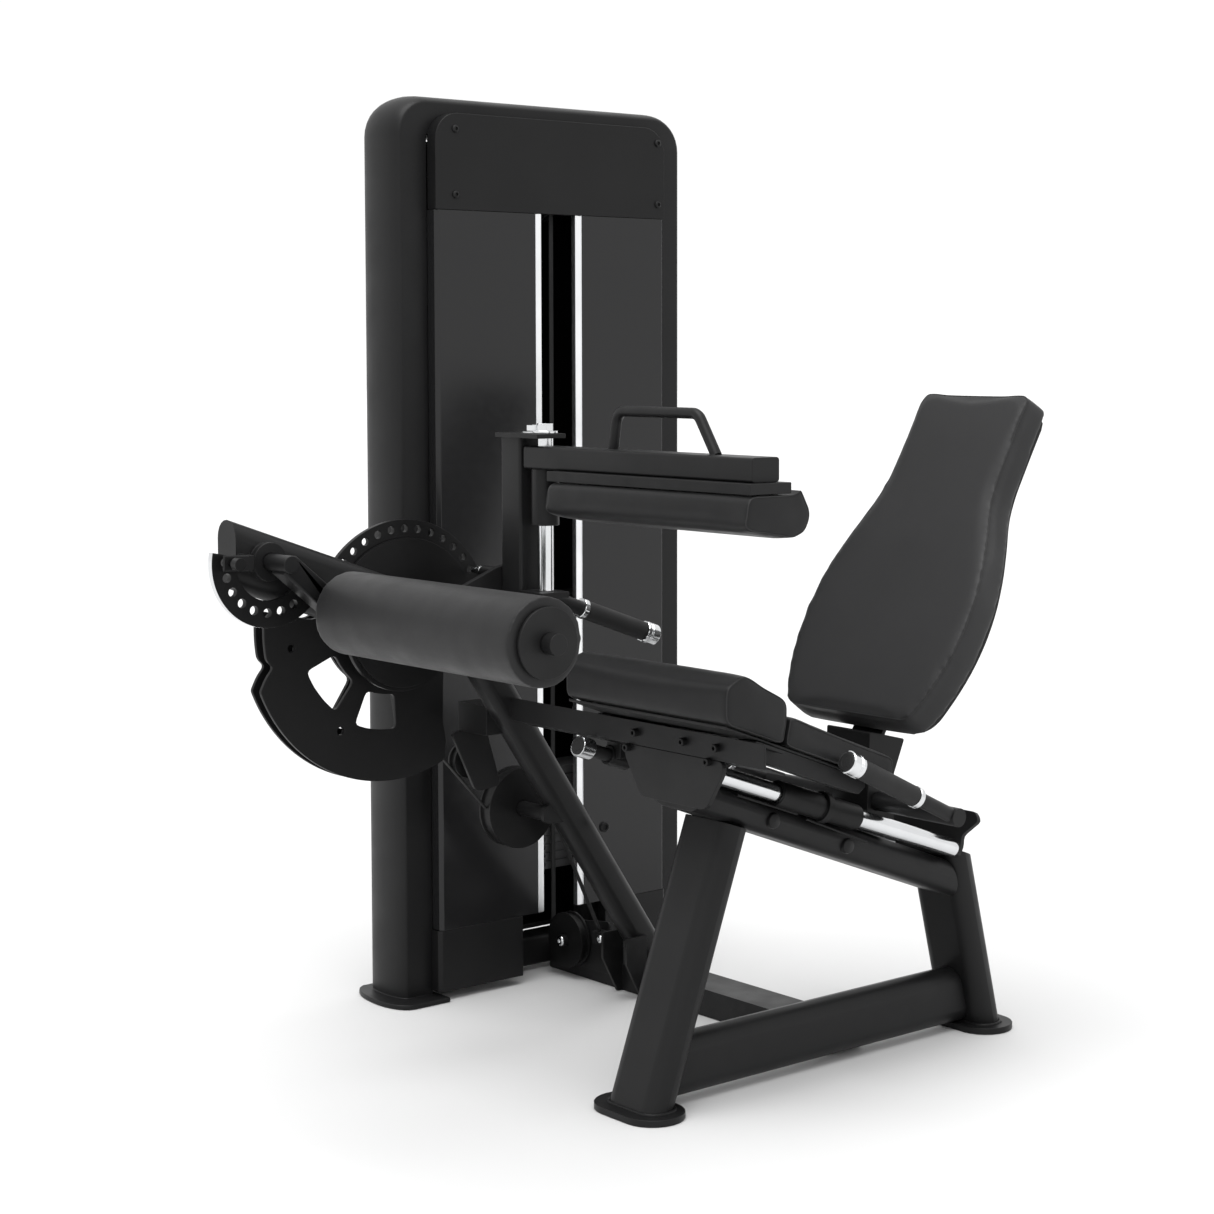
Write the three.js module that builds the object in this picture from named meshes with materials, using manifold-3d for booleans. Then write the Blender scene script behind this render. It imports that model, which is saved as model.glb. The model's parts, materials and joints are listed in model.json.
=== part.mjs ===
// Seated leg extension machine with a selectorised weight tower.
// Millimetres, +Z up. X runs from the roller towards the back pad, Y from the seat
// towards the weight tower, and the user faces -X.
import * as THREE from 'three';
import { mergeVertices } from 'three/addons/utils/BufferGeometryUtils.js';
import Module from 'manifold-3d';

const wasm = await Module();
wasm.setup();

// ---- driving dimensions -------------------------------------------------
const GAP = 0.3; // clearance between pieces that rest on each other
const PLATE = 8; // thickness of floor plates and brackets

// Tower: an inverted U of D-section tube with a cover on its front.
const TOWER_X = 240;
const TOWER_FRONT = 406;
const TOWER_DEPTH = 105;
const TOWER_BACK = TOWER_FRONT + TOWER_DEPTH;
const TOWER_HALF = 294; // to the outer crease of each upright
const TOWER_CREASE_TOP = 1491;
const TUBE_FACE = 49;
const TUBE_BULGE = 15;
const TUBE_BEND = 52;
const OPENING_HALF = TOWER_HALF - TUBE_FACE;
const OPENING_TOP = TOWER_CREASE_TOP - TUBE_FACE;
const COVER_FRONT = 381;
const COVER_HALF = 244.7;
const COVER_WALL = 3;
const HEADER_BOTTOM = 1318;
const HEADER_TOP = 1476;
const PANEL_BOTTOM = 118;
const SLOT_LEFT = 198; // inner edge of the left panel
const SLOT_RIGHT = 299; // inner edge of the right panel
const SLOT_TRIM = 14;
const SKIRT_INNER = { left: 74, right: 107 }; // inner edges, from the tower's middle

// Weight stack
const STACK_Y = 456;
const STACK_WIDTH = 330;
const STACK_DEPTH = 72;
const STACK_PITCH = 15;
const STACK_BASE = 182;
const STATIC_PLATES = 12;
const LIFTED_PLATES = 5;
const STACK_LIFT = 200; // how far the picked plates hang above the rest
const ROD_SPACING = 250;
const GUIDE_ROD_RADIUS = 9;
const PLATE_SHADOW = 1.6; // the gap shown between two plates
const PIN_BORE_RADIUS = 5;
const STATIC_TOP = STACK_BASE + STATIC_PLATES * STACK_PITCH;

// Belt run inside the tower
const BELT_X = 256;
const BELT_Y = 413;
const UPPER_BEAM_Z = 1400;
const TOP_PULLEY_Z = 1330;
// from the tower's middle
const TOP_PULLEY = [(BELT_X - TOWER_X) / 2, (BELT_Y + STACK_Y) / 2, TOP_PULLEY_Z];
const TOP_PULLEY_TURN = Math.atan2(BELT_X - TOWER_X, STACK_Y - BELT_Y) - Math.PI / 2;

// Seat frame, all about one centre plane
const SEAT_Y = -280;
const RAIL_SLOPE = 0.3754; // fall per millimetre of X
const LEG_WIDTH = 110;
const LEG_THICKNESS = 52;
const FRONT_LEG_X = -120;
const FRONT_LEG_LEAN = 0.361;
const REAR_LEG_X = 571;
const REAR_LEG_LEAN = -0.252;
const FOOT_THICKNESS = 10;
const SLIDE_ANGLE = 0.3384; // fall of the slide rods, radians
const SLIDE_ROD_RADIUS = 14;
const SLIDE_ROD_OFFSET = 64;
const SLIDE_FRONT = [-20, 482];
const FRONT_PLATE_X = -61.7;
const END_PLATE_X = 459;
const SLEEVE_RADIUS = 19.5;

// Seat and back cushions
const SEAT_HALF = 180;
const BOARD = 4;
const SEAT_REAR = 206;
const PAD_FOOT = [285, 545]; // front bottom edge of the back cushion
const PAD_LEAN = 0.546;
const PAD_LENGTH = 560;
const PAD_DROP = -12; // how far the cushion hangs below its foot point
const PAD_THICKNESS = 52;

// Grips
const GRIP_TUBE = 11; // radius
const GRIP_SLEEVE = 15; // radius
const GRIP_ROOT = [310, 403];
const GRIP_CAP = [89, 510];
const RELEASE_Y = -92;

// Lever, seen with the roller raised
const PIVOT = [-207, 669];
const LEVER_ANGLE = 0.343; // rise towards -X, radians
const SWING = [-549, 797];
const ROLLER = [-464, 726];
const ROLLER_RADIUS = 60;
const HOUSING_NEAR = 71;
const DISC_NEAR = 184.5;
const CAM_NEAR = 221;
const CAM_FAR = 246;
const SHAFT_RADIUS = 20;
const RANGE_RADIUS = 147;
const RANGE_START = 31.4; // degrees, the hole the range pin is in
const RANGE_PITCH = 9.6; // degrees between the range disc's holes
const LOCK_ANGLE = 177.4; // where the lock pin meets the ring, seen from the swing shaft
const ADJUSTER_RADIUS = 71;
const ADJUSTER_PITCH = 17.6;

// Thigh hold-down
const SHAFT = [-80, -7.5];
const POST_X = -84;
const CHANNEL_END = 105; // where the seat channel meets the brace
const POST_Y = 45.5;
const POST_TOP = 957;
const POST_BOTTOM = 640;

// Floor beam, brace, belts and pulleys
const BASE_BEAM = [270, 346];
const BELT_THICKNESS = 3;
const BELT_WIDTH = 9;
const BELT_PLANE = 236; // between the cam plates
const SEGMENT_PULLEY = [46, 345];
const SEGMENT_PULLEY_R = 62;
const GUIDE_PULLEY = [-56, 434];
const LOWER_PULLEY_R = 44;
const LOWER_PULLEY = [BELT_Y - LOWER_PULLEY_R - BELT_THICKNESS / 2 - GAP, 66];

// ---- colours ------------------------------------------------------------
const paint = () => new THREE.MeshStandardMaterial({ color: 0x1f1f20, roughness: 0.4, metalness: 0 });
const darkPaint = () => new THREE.MeshStandardMaterial({ color: 0x191919, roughness: 0.4, metalness: 0 });
const chrome = () => new THREE.MeshStandardMaterial({ color: 0xe9ebed, roughness: 0.1, metalness: 1 });
const blackPlastic = () => new THREE.MeshStandardMaterial({ color: 0x161617, roughness: 0.5, metalness: 0 });
const cushion = () => new THREE.MeshStandardMaterial({ color: 0x27272a, roughness: 0.55, metalness: 0 });
const castIron = () => new THREE.MeshStandardMaterial({ color: 0x1a1a1b, roughness: 0.55, metalness: 0 });
const rubber = () => new THREE.MeshStandardMaterial({ color: 0x1b1b1c, roughness: 0.7, metalness: 0 });

// ---- geometry helpers ---------------------------------------------------
const degrees = THREE.MathUtils.degToRad;
const vec = (x, y, z) => new THREE.Vector3(x, y, z);

function toSolid(geometry) {
  const bare = geometry.clone();
  bare.deleteAttribute('normal');
  bare.deleteAttribute('uv');
  const merged = mergeVertices(bare, 1e-4);
  const mesh = new wasm.Mesh({
    numProp: 3,
    vertProperties: new Float32Array(merged.attributes.position.array),
    triVerts: new Uint32Array(merged.index.array),
  });
  return new wasm.Manifold(mesh);
}

function toGeometry(solid) {
  const mesh = solid.getMesh();
  const geometry = new THREE.BufferGeometry();
  geometry.setAttribute('position', new THREE.BufferAttribute(new Float32Array(mesh.vertProperties), 3));
  geometry.setIndex(new THREE.BufferAttribute(new Uint32Array(mesh.triVerts), 1));
  geometry.computeVertexNormals();
  return geometry;
}

function cut(body, ...tools) {
  return toGeometry(tools.reduce((solid, tool) => solid.subtract(toSolid(tool)), toSolid(body)));
}

function join(first, ...others) {
  return toGeometry(others.reduce((solid, other) => solid.add(toSolid(other)), toSolid(first)));
}

function box(x0, x1, y0, y1, z0, z1) {
  const geometry = new THREE.BoxGeometry(x1 - x0, y1 - y0, z1 - z0);
  return geometry.translate((x0 + x1) / 2, (y0 + y1) / 2, (z0 + z1) / 2);
}

function circleSection(radius, count = 24) {
  return Array.from({ length: count }, (_, i) => {
    const a = (2 * Math.PI * i) / count;
    return new THREE.Vector2(radius * Math.cos(a), radius * Math.sin(a));
  });
}

// A rectangle with rounded corners; radius = half the height gives a flat oval.
function roundedSection(width, height, radius, steps = 4) {
  const points = [];
  const corners = [[1, 1, 0], [-1, 1, 1], [-1, -1, 2], [1, -1, 3]];
  for (const [sx, sy, quarter] of corners) {
    for (let i = 0; i <= steps; i += 1) {
      const a = ((quarter + i / steps) * Math.PI) / 2;
      points.push(new THREE.Vector2(
        sx * (width / 2 - radius) + radius * Math.cos(a),
        sy * (height / 2 - radius) + radius * Math.sin(a),
      ));
    }
  }
  return points.filter((p, i) => p.distanceTo(points[(i + 1) % points.length]) > 1e-6);
}

// Skins a closed section through a list of frames and caps both ends.
function sweep(section, frames) {
  const outline = THREE.ShapeUtils.isClockWise(section) ? [...section].reverse() : section;
  const count = outline.length;
  const positions = [];
  for (const frame of frames) {
    for (const point of outline) {
      positions.push(...vec(point.x, point.y, 0).applyMatrix4(frame).toArray());
    }
  }
  const index = [];
  for (let ring = 0; ring + 1 < frames.length; ring += 1) {
    for (let i = 0; i < count; i += 1) {
      const a = ring * count + i;
      const b = ring * count + ((i + 1) % count);
      index.push(a, b, b + count, a, b + count, a + count);
    }
  }
  const last = (frames.length - 1) * count;
  for (const [a, b, c] of THREE.ShapeUtils.triangulateShape(outline, [])) {
    index.push(c, b, a, last + a, last + b, last + c);
  }
  const geometry = new THREE.BufferGeometry();
  geometry.setAttribute('position', new THREE.Float32BufferAttribute(positions, 3));
  geometry.setIndex(index);
  geometry.computeVertexNormals();
  return geometry;
}

// A straight bar: section x runs along `side`; either end can be cut square or on a plane.
function bar(section, from, to, side, cutFrom = null, cutTo = null) {
  const axis = to.clone().sub(from).normalize();
  const across = side.clone().addScaledVector(axis, -side.dot(axis)).normalize();
  const rise = axis.clone().cross(across);
  const frameAt = (point, normal) => {
    const slide = (v) => v.clone().addScaledVector(axis, -v.dot(normal) / axis.dot(normal));
    return new THREE.Matrix4().makeBasis(slide(across), slide(rise), axis).setPosition(point);
  };
  return sweep(section, [frameAt(from, cutFrom ?? axis), frameAt(to, cutTo ?? axis)]);
}

// A bar bent in one plane: section x runs along the plane's normal.
function bentBar(section, corners, radius, normal, steps = 6) {
  const path = [corners[0]];
  for (let i = 1; i + 1 < corners.length; i += 1) {
    const before = corners[i - 1].clone().sub(corners[i]).normalize();
    const after = corners[i + 1].clone().sub(corners[i]).normalize();
    const half = before.angleTo(after) / 2;
    const inward = before.clone().add(after).normalize();
    const centre = corners[i].clone().addScaledVector(inward, radius / Math.sin(half));
    const start = corners[i].clone().addScaledVector(before, radius / Math.tan(half)).sub(centre);
    const end = corners[i].clone().addScaledVector(after, radius / Math.tan(half)).sub(centre);
    const turn = start.angleTo(end);
    const pivot = start.clone().cross(end).normalize();
    for (let k = 0; k <= steps; k += 1) {
      path.push(start.clone().applyAxisAngle(pivot, (turn * k) / steps).add(centre));
    }
  }
  path.push(corners[corners.length - 1]);
  const frames = path.map((point, i) => {
    const into = i > 0 ? point.clone().sub(path[i - 1]).normalize() : null;
    const out = i + 1 < path.length ? path[i + 1].clone().sub(point).normalize() : null;
    const tangent = (into ?? out).clone().add(out ?? into).normalize();
    const widen = into && out ? 1 / Math.cos(into.angleTo(out) / 2) : 1;
    const rise = tangent.clone().cross(normal).multiplyScalar(widen);
    return new THREE.Matrix4().makeBasis(normal, rise, tangent).setPosition(point);
  });
  return sweep(section, frames);
}

function rod(radius, from, to, count = 24) {
  const side = Math.abs(to.clone().sub(from).normalize().z) > 0.9 ? vec(1, 0, 0) : vec(0, 0, 1);
  return bar(circleSection(radius, count), from, to, side);
}

// Plates: an outline given in two world axes, extruded along the third.
function plateXY(shape, z0, thickness) {
  const settings = { depth: thickness, bevelEnabled: false, curveSegments: 6 };
  const geometry = new THREE.ExtrudeGeometry(shape, settings);
  return geometry.translate(0, 0, z0);
}

function plateXZ(shape, y0, thickness) {
  const settings = { depth: thickness, bevelEnabled: false, curveSegments: 3 };
  const geometry = new THREE.ExtrudeGeometry(shape, settings);
  return geometry.rotateX(Math.PI / 2).translate(0, y0 + thickness, 0);
}

function plateYZ(shape, x0, thickness) {
  const settings = { depth: thickness, bevelEnabled: false, curveSegments: 3 };
  const geometry = new THREE.ExtrudeGeometry(shape, settings);
  const turn = new THREE.Matrix4().makeBasis(vec(0, 1, 0), vec(0, 0, 1), vec(1, 0, 0));
  return geometry.applyMatrix4(turn).translate(x0, 0, 0);
}

function polygon(points) {
  return new THREE.Shape(points.map(([a, b]) => new THREE.Vector2(a, b)));
}

// A polygon with every corner rounded.
function softPolygon(points, radius) {
  const shape = new THREE.Shape();
  const count = points.length;
  points.forEach(([x, y], i) => {
    const here = new THREE.Vector2(x, y);
    const prev = new THREE.Vector2(...points[(i + count - 1) % count]).sub(here);
    const next = new THREE.Vector2(...points[(i + 1) % count]).sub(here);
    const reach = Math.min(radius, prev.length() / 2.01, next.length() / 2.01);
    const start = here.clone().addScaledVector(prev.normalize(), reach);
    const end = here.clone().addScaledVector(next.normalize(), reach);
    if (i === 0) shape.moveTo(start.x, start.y);
    else shape.lineTo(start.x, start.y);
    shape.quadraticCurveTo(here.x, here.y, end.x, end.y);
  });
  shape.closePath();
  return shape;
}

function stadium(halfX, halfY) {
  const r = Math.min(halfX, halfY);
  const shape = new THREE.Shape();
  shape.absarc(0, halfY - r, r, 0, Math.PI, false);
  shape.absarc(0, r - halfY, r, Math.PI, 2 * Math.PI, false);
  shape.closePath();
  return shape;
}

function polar(radius, angle) {
  return [radius * Math.cos(degrees(angle)), radius * Math.sin(degrees(angle))];
}

// Points on an arc about the origin, angles in degrees.
function arc(radius, from, to, steps) {
  return Array.from({ length: steps + 1 }, (_, i) => polar(radius, from + ((to - from) * i) / steps));
}

function circleHole(x, y, radius, steps = 8) {
  const points = arc(radius, 360 - 360 / steps, 0, steps - 1);
  return new THREE.Path(points.map(([a, b]) => new THREE.Vector2(x + a, y + b)));
}

function ringSector(inner, outer, from, to, steps) {
  return [...arc(outer, from, to, steps), ...arc(inner, to, from, steps)];
}

const machine = new THREE.Group();

function add(name, geometry, material, parent = machine) {
  const mesh = new THREE.Mesh(geometry, material);
  mesh.name = name;
  parent.add(mesh);
  return mesh;
}

// The names and signs of a mirrored pair.
const SIDES = [['left', -1], ['right', 1]];

// ---- weight tower -------------------------------------------------------
function towerTubeSection() {
  const points = [new THREE.Vector2(0, -TUBE_FACE), new THREE.Vector2(0, 0)];
  const half = TOWER_DEPTH / 2;
  for (let i = 1; i < 10; i += 1) {
    const a = Math.PI * (1 - i / 10);
    points.push(new THREE.Vector2(half + half * Math.cos(a), TUBE_BULGE * Math.sin(a)));
  }
  points.push(new THREE.Vector2(TOWER_DEPTH, 0), new THREE.Vector2(TOWER_DEPTH, -TUBE_FACE));
  return points;
}

function towerFrame() {
  const foot = PLATE - 1;
  const corners = [
    vec(-TOWER_HALF, 0, foot),
    vec(-TOWER_HALF, 0, TOWER_CREASE_TOP),
    vec(TOWER_HALF, 0, TOWER_CREASE_TOP),
    vec(TOWER_HALF, 0, foot),
  ];
  return bentBar(towerTubeSection(), corners, TUBE_BEND, vec(0, 1, 0), 8);
}

function towerFoot(side) {
  const inner = side * (TOWER_HALF - 58);
  const outer = side * (TOWER_HALF + 46);
  const front = TOWER_FRONT - 38;
  const back = TOWER_BACK + 18;
  const shape = new THREE.Shape();
  shape.moveTo(inner, front);
  shape.lineTo(side * (TOWER_HALF + 14), front);
  shape.quadraticCurveTo(outer - side * 4, front + 4, outer, front + 62);
  shape.quadraticCurveTo(outer - side * 2, back - 16, side * (TOWER_HALF + 12), back);
  shape.lineTo(inner, back);
  shape.closePath();
  return plateXY(shape, 0, PLATE);
}

function header() {
  const rounded = new THREE.Shape();
  const bend = 44;
  rounded.moveTo(-COVER_HALF, HEADER_BOTTOM);
  rounded.lineTo(COVER_HALF, HEADER_BOTTOM);
  rounded.absarc(COVER_HALF - bend, HEADER_TOP - bend, bend, 0, Math.PI / 2, false);
  rounded.absarc(bend - COVER_HALF, HEADER_TOP - bend, bend, Math.PI / 2, Math.PI, false);
  rounded.closePath();
  const depth = TOWER_FRONT - GAP - COVER_FRONT;
  const block = plateXZ(rounded, COVER_FRONT, depth);
  const hollow = box(
    COVER_WALL - COVER_HALF, COVER_HALF - COVER_WALL, COVER_FRONT + COVER_WALL, TOWER_FRONT + 5,
    HEADER_BOTTOM + COVER_WALL, HEADER_TOP - bend,
  );
  return cut(block, hollow);
}

// A pressed cover: a front sheet folded back along its outer edge and its slot edge.
function coverSheet(side, inner, outer, bottom, top, lip) {
  const back = outer < OPENING_HALF ? TOWER_FRONT + 34 : TOWER_FRONT - GAP;
  const s = side;
  const shape = polygon([
    [s * outer, back], [s * outer, COVER_FRONT + 6], [s * (outer - 6), COVER_FRONT], [s * inner, COVER_FRONT],
    [s * inner, COVER_FRONT + lip], [s * (inner + COVER_WALL), COVER_FRONT + lip],
    [s * (inner + COVER_WALL), COVER_FRONT + COVER_WALL], [s * (outer - 7), COVER_FRONT + COVER_WALL],
    [s * (outer - COVER_WALL), COVER_FRONT + 7], [s * (outer - COVER_WALL), back],
  ]);
  return plateXY(shape, bottom, top - bottom);
}

function towerBeam(y, z, width, height) {
  const reach = OPENING_HALF + 2;
  return bar(roundedSection(width, height, 6, 2), vec(-reach, y, z), vec(reach, y, z), vec(0, 1, 0));
}

// Carries the top pulley under the upper beam; its pin runs level, at an angle to the tower.
function topPulleyBracket() {
  const up = UPPER_BEAM_Z - 25 + 2 - TOP_PULLEY_Z;
  const cheek = (y) => box(-14, 14, y, y + 4, -16, up);
  const bridge = box(-14, 14, -16, 16, up - 8, up);
  const bracket = join(cheek(-16), cheek(12), bridge, rod(8, vec(0, -15, 0), vec(0, 15, 0), 20));
  return bracket.rotateZ(TOP_PULLEY_TURN).translate(...TOP_PULLEY);
}

function panel(side) {
  const edge = Math.abs((side < 0 ? SLOT_LEFT : SLOT_RIGHT) - TOWER_X);
  const top = HEADER_BOTTOM - GAP;
  const sheet = coverSheet(side, edge - 1, COVER_HALF, PANEL_BOTTOM + GAP, top, 12);
  const trimEdges = [side * (edge - SLOT_TRIM), side * edge].sort((a, b) => a - b);
  return join(sheet, box(...trimEdges, COVER_FRONT + 1, COVER_FRONT + 12, PANEL_BOTTOM + GAP, top));
}

function buildTower(parent) {
  const pieces = [
    towerFrame().translate(0, TOWER_FRONT, 0),
    ...SIDES.map(([, side]) => towerFoot(side)),
    towerBeam(468, 34, 52, 52),
    towerBeam(STACK_Y, UPPER_BEAM_Z, 44, 50),
    topPulleyBracket(),
  ];
  add('tower_frame', join(...pieces), paint(), parent);
  add('header_cover', header(), paint(), parent);
  for (const [name, side] of SIDES) {
    add(`panel_${name}`, panel(side), darkPaint(), parent);
    const skirt = coverSheet(side, SKIRT_INNER[name], COVER_HALF + 2.8, 14, PANEL_BOTTOM, 20);
    add(`skirt_${name}`, skirt, paint(), parent);
  }
  const inside = OPENING_HALF - GAP;
  const rear = box(-inside, inside, TOWER_BACK - 12, TOWER_BACK - 8, 66, OPENING_TOP - 4);
  add('rear_cover', rear, darkPaint(), parent);
}

// ---- weight stack -------------------------------------------------------
// Plates stacked with a shadow gap between them, bored for the guide rods, the stem and one pin each.
function plateBlock(bottom, count) {
  const front = STACK_Y - STACK_DEPTH / 2;
  const back = STACK_Y + STACK_DEPTH / 2;
  const half = STACK_WIDTH / 2;
  const plates = [];
  const bores = [];
  for (let i = 0; i < count; i += 1) {
    const z = bottom + i * STACK_PITCH;
    const core = i + 1 < count ? STACK_PITCH : STACK_PITCH - PLATE_SHADOW;
    plates.push(box(2 - half, half - 2, front + 2, back - 2, z, z + core));
    plates.push(box(-half, half, front, back, z, z + STACK_PITCH - PLATE_SHADOW));
    const boreZ = z + STACK_PITCH / 2;
    bores.push(rod(PIN_BORE_RADIUS, vec(0, front - 5, boreZ), vec(0, STACK_Y, boreZ), 12));
  }
  const upright = (x, radius) => rod(
    radius,
    vec(x, STACK_Y, bottom - 5),
    vec(x, STACK_Y, bottom + count * STACK_PITCH + 5),
    16,
  );
  for (const [, side] of SIDES) bores.push(upright((side * ROD_SPACING) / 2, GUIDE_ROD_RADIUS + 1.5));
  return cut(join(...plates), ...bores, upright(0, 13));
}

// The top plate of the stack, with the stem that takes the pin and the lug that takes the belt.
function stackHead(top) {
  const half = STACK_WIDTH / 2 - 20;
  const plate = box(-half, half, STACK_Y - 36, STACK_Y + 36, top + GAP - 1.3, top + 26);
  const bores = SIDES.map(([, side]) => {
    const x = (side * ROD_SPACING) / 2;
    return rod(GUIDE_ROD_RADIUS + 1, vec(x, STACK_Y, top - 20), vec(x, STACK_Y, top + 60), 16);
  });
  const stemLength = LIFTED_PLATES * STACK_PITCH + 60;
  const stem = rod(11, vec(0, STACK_Y, top + 10), vec(0, STACK_Y, top - stemLength), 16);
  const lug = box(-10, 10, STACK_Y - 14, STACK_Y + 14, top + 20, top + 62);
  return join(cut(plate, ...bores), stem, lug);
}

function buildStack(parent) {
  const rodBottom = 60 + GAP;
  const rodTop = UPPER_BEAM_Z - 25 - GAP;
  for (const [name, side] of SIDES) {
    const x = (side * ROD_SPACING) / 2;
    const guide = rod(GUIDE_ROD_RADIUS, vec(x, STACK_Y, rodBottom), vec(x, STACK_Y, rodTop), 16);
    const buffer = rod(24, vec(x, STACK_Y, rodBottom), vec(x, STACK_Y, STACK_BASE - GAP), 20);
    add(`guide_rod_${name}`, join(guide, buffer), chrome(), parent);
  }
  add('weight_stack_rest', plateBlock(STACK_BASE, STATIC_PLATES), castIron(), parent);
  const bottom = STATIC_TOP + STACK_LIFT;
  add('weight_stack_lifted', plateBlock(bottom, LIFTED_PLATES), castIron(), parent);
  add('stack_head', stackHead(bottom + LIFTED_PLATES * STACK_PITCH), darkPaint(), parent);
}

function pulleyGeometry(radius, width, bore, count = 32) {
  const flange = radius + 4;
  const profile = [
    [bore, -width / 2], [flange, -width / 2], [flange, -width / 2 + 4], [radius, -width / 2 + 5],
    [radius, width / 2 - 5], [flange, width / 2 - 4], [flange, width / 2],
    [bore, width / 2], [bore, -width / 2],
  ];
  return new THREE.LatheGeometry(profile.map(([r, z]) => new THREE.Vector2(r, z)), count);
}

// ---- floor frame and seat frame ----------------------------------------
const railUnderside = (x) => 381 - RAIL_SLOPE * (x - 80);
const railDown = vec(1, 0, -RAIL_SLOPE).normalize();
const railNormal = vec(RAIL_SLOPE, 0, 1).normalize();
const frontLegX = (z) => FRONT_LEG_X + FRONT_LEG_LEAN * (z - FOOT_THICKNESS);
const rearLegX = (z) => REAR_LEG_X + REAR_LEG_LEAN * (z - FOOT_THICKNESS);
const legSection = () => roundedSection(LEG_WIDTH, LEG_THICKNESS, LEG_THICKNESS / 2 - 0.5, 5);

function buildSeatFrame() {
  const foot = (x) => plateXY(stadium(47, 76.5), 0, FOOT_THICKNESS).translate(x, SEAT_Y, 0);
  const floor = vec(0, 0, 1);
  const footTop = FOOT_THICKNESS - 1;
  const legTopX = 21.8;
  const frontTop = vec(legTopX, SEAT_Y, railUnderside(legTopX) - GAP);
  const frontBottom = vec(frontLegX(footTop), SEAT_Y, footTop);
  const frontLeg = bar(legSection(), frontBottom, frontTop, vec(0, 1, 0), floor, railNormal);
  add('front_leg', join(frontLeg, foot(FRONT_LEG_X - 4)), paint());
  const rearTopZ = 300;
  const rearBottom = vec(rearLegX(footTop), SEAT_Y, footTop);
  const rearTop = vec(rearLegX(rearTopZ), SEAT_Y, rearTopZ);
  const rearLeg = bar(legSection(), rearBottom, rearTop, vec(0, 1, 0), floor, railNormal);
  add('rear_leg', join(rearLeg, foot(REAR_LEG_X + 1)), paint());

  const frontAxis = vec(FRONT_LEG_LEAN, 0, 1).normalize();
  const rearAxis = vec(REAR_LEG_LEAN, 0, 1).normalize();
  const frontFace = vec(-1, 0, FRONT_LEG_LEAN).normalize();
  const rearFace = vec(1, 0, -REAR_LEG_LEAN).normalize();
  const tubeZ = 56.5;
  const reach = LEG_THICKNESS / 2 + GAP;
  const tubeFrom = vec(frontLegX(tubeZ) + (reach + 0.1) / frontAxis.z, SEAT_Y, tubeZ);
  const tubeTo = vec(rearLegX(tubeZ) - reach / rearAxis.z, SEAT_Y, tubeZ);
  const tube = bar(roundedSection(50, 90, 24.5, 5), tubeFrom, tubeTo, vec(0, 1, 0), frontFace, rearFace);
  add('lower_tube', tube, paint());

  const railHeight = LEG_THICKNESS / 2;
  const railStart = vec(FRONT_PLATE_X + PLATE - 2, SEAT_Y, 0);
  railStart.z = railUnderside(railStart.x) + railHeight / railNormal.z;
  const railEnd = railStart.clone();
  while (railEnd.x < rearLegX(railEnd.z) - reach / rearAxis.z - 0.2) {
    railEnd.addScaledVector(railDown, 0.2);
  }
  const rail = bar(legSection(), railStart, railEnd, vec(0, 1, 0), vec(1, 0, 0), rearFace);
  add('main_rail', join(rail, frontPlate()), paint());
}

function frontPlate() {
  const outline = [
    [SEAT_Y - 108, 514], [SEAT_Y + 108, 514], [SEAT_Y + 108, 496], [SEAT_Y + 72, 440],
    [SEAT_Y - 72, 440], [SEAT_Y - 108, 496],
  ];
  return plateYZ(softPolygon(outline, 12), FRONT_PLATE_X, PLATE);
}

function crossChannel() {
  const x = FRONT_PLATE_X;
  const outline = polygon([
    [x, 514 + GAP], [x, 550], [x + 40, 535.5], [x + 40, 531.3], [x + 4, 544.3], [x + 4, 518.5],
    [x + 40, 505.3], [x + 40, 501], [x + PLATE + 1, 513.5], [x + PLATE + 1, 514 + GAP],
  ]);
  const near = SEAT_Y - 194;
  const far = CHANNEL_END;
  return plateXZ(outline, near, far - near);
}

// ---- seat ---------------------------------------------------------------
const boardUnder = (x) => 548 - 0.369 * (x + 45);

function buildSeat() {
  const board = polygon([
    [-114, boardUnder(-114)], [SEAT_REAR, boardUnder(SEAT_REAR)],
    [SEAT_REAR, boardUnder(SEAT_REAR) + BOARD], [-114, boardUnder(-114) + BOARD],
  ]);
  add('seat_board', plateXZ(board, SEAT_Y - SEAT_HALF + 6, 2 * SEAT_HALF - 12), blackPlastic());
  const rest = (x) => boardUnder(x) + BOARD + GAP + 0.1;
  const bolster = softPolygon([
    [-119, rest(-119)], [-8, rest(-8)], [-3, 570], [2, 601], [-84, 649], [-119, 632],
  ], 9);
  add('seat_bolster', plateXZ(bolster, SEAT_Y - SEAT_HALF, 2 * SEAT_HALF), cushion());
  const pad = softPolygon([
    [-6.5, rest(-6.5)], [212, rest(212)], [214, 498], [107, 541], [4, 581], [-2, 570],
  ], 5);
  add('seat_pad', plateXZ(pad, SEAT_Y - SEAT_HALF, 2 * SEAT_HALF), cushion());
  const rails = SIDES.map(([, side]) => seatRail(side));
  add('seat_frame', join(crossChannel(), ...rails, releaseGuide()), paint());
}

function seatRail(side) {
  const from = FRONT_PLATE_X + 2;
  const top = (x) => boardUnder(x) - GAP - 0.1;
  const outline = softPolygon([
    [from, top(from) - 28], [142, top(142) - 26], [156, top(156) - 12], [156, top(156)],
    [from + 6, top(from + 6)], [from, top(from + 6)],
  ], 3);
  return plateXZ(outline, SEAT_Y + side * 158 - 15, 30);
}

// ---- back rest ----------------------------------------------------------
const slideDown = vec(Math.cos(SLIDE_ANGLE), 0, -Math.sin(SLIDE_ANGLE));
const slideUp = vec(Math.sin(SLIDE_ANGLE), 0, Math.cos(SLIDE_ANGLE));
const slideZ = (x) => SLIDE_FRONT[1] - Math.tan(SLIDE_ANGLE) * (x - SLIDE_FRONT[0]);
const slidePoint = (x, y) => vec(x, y, slideZ(x));

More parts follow.
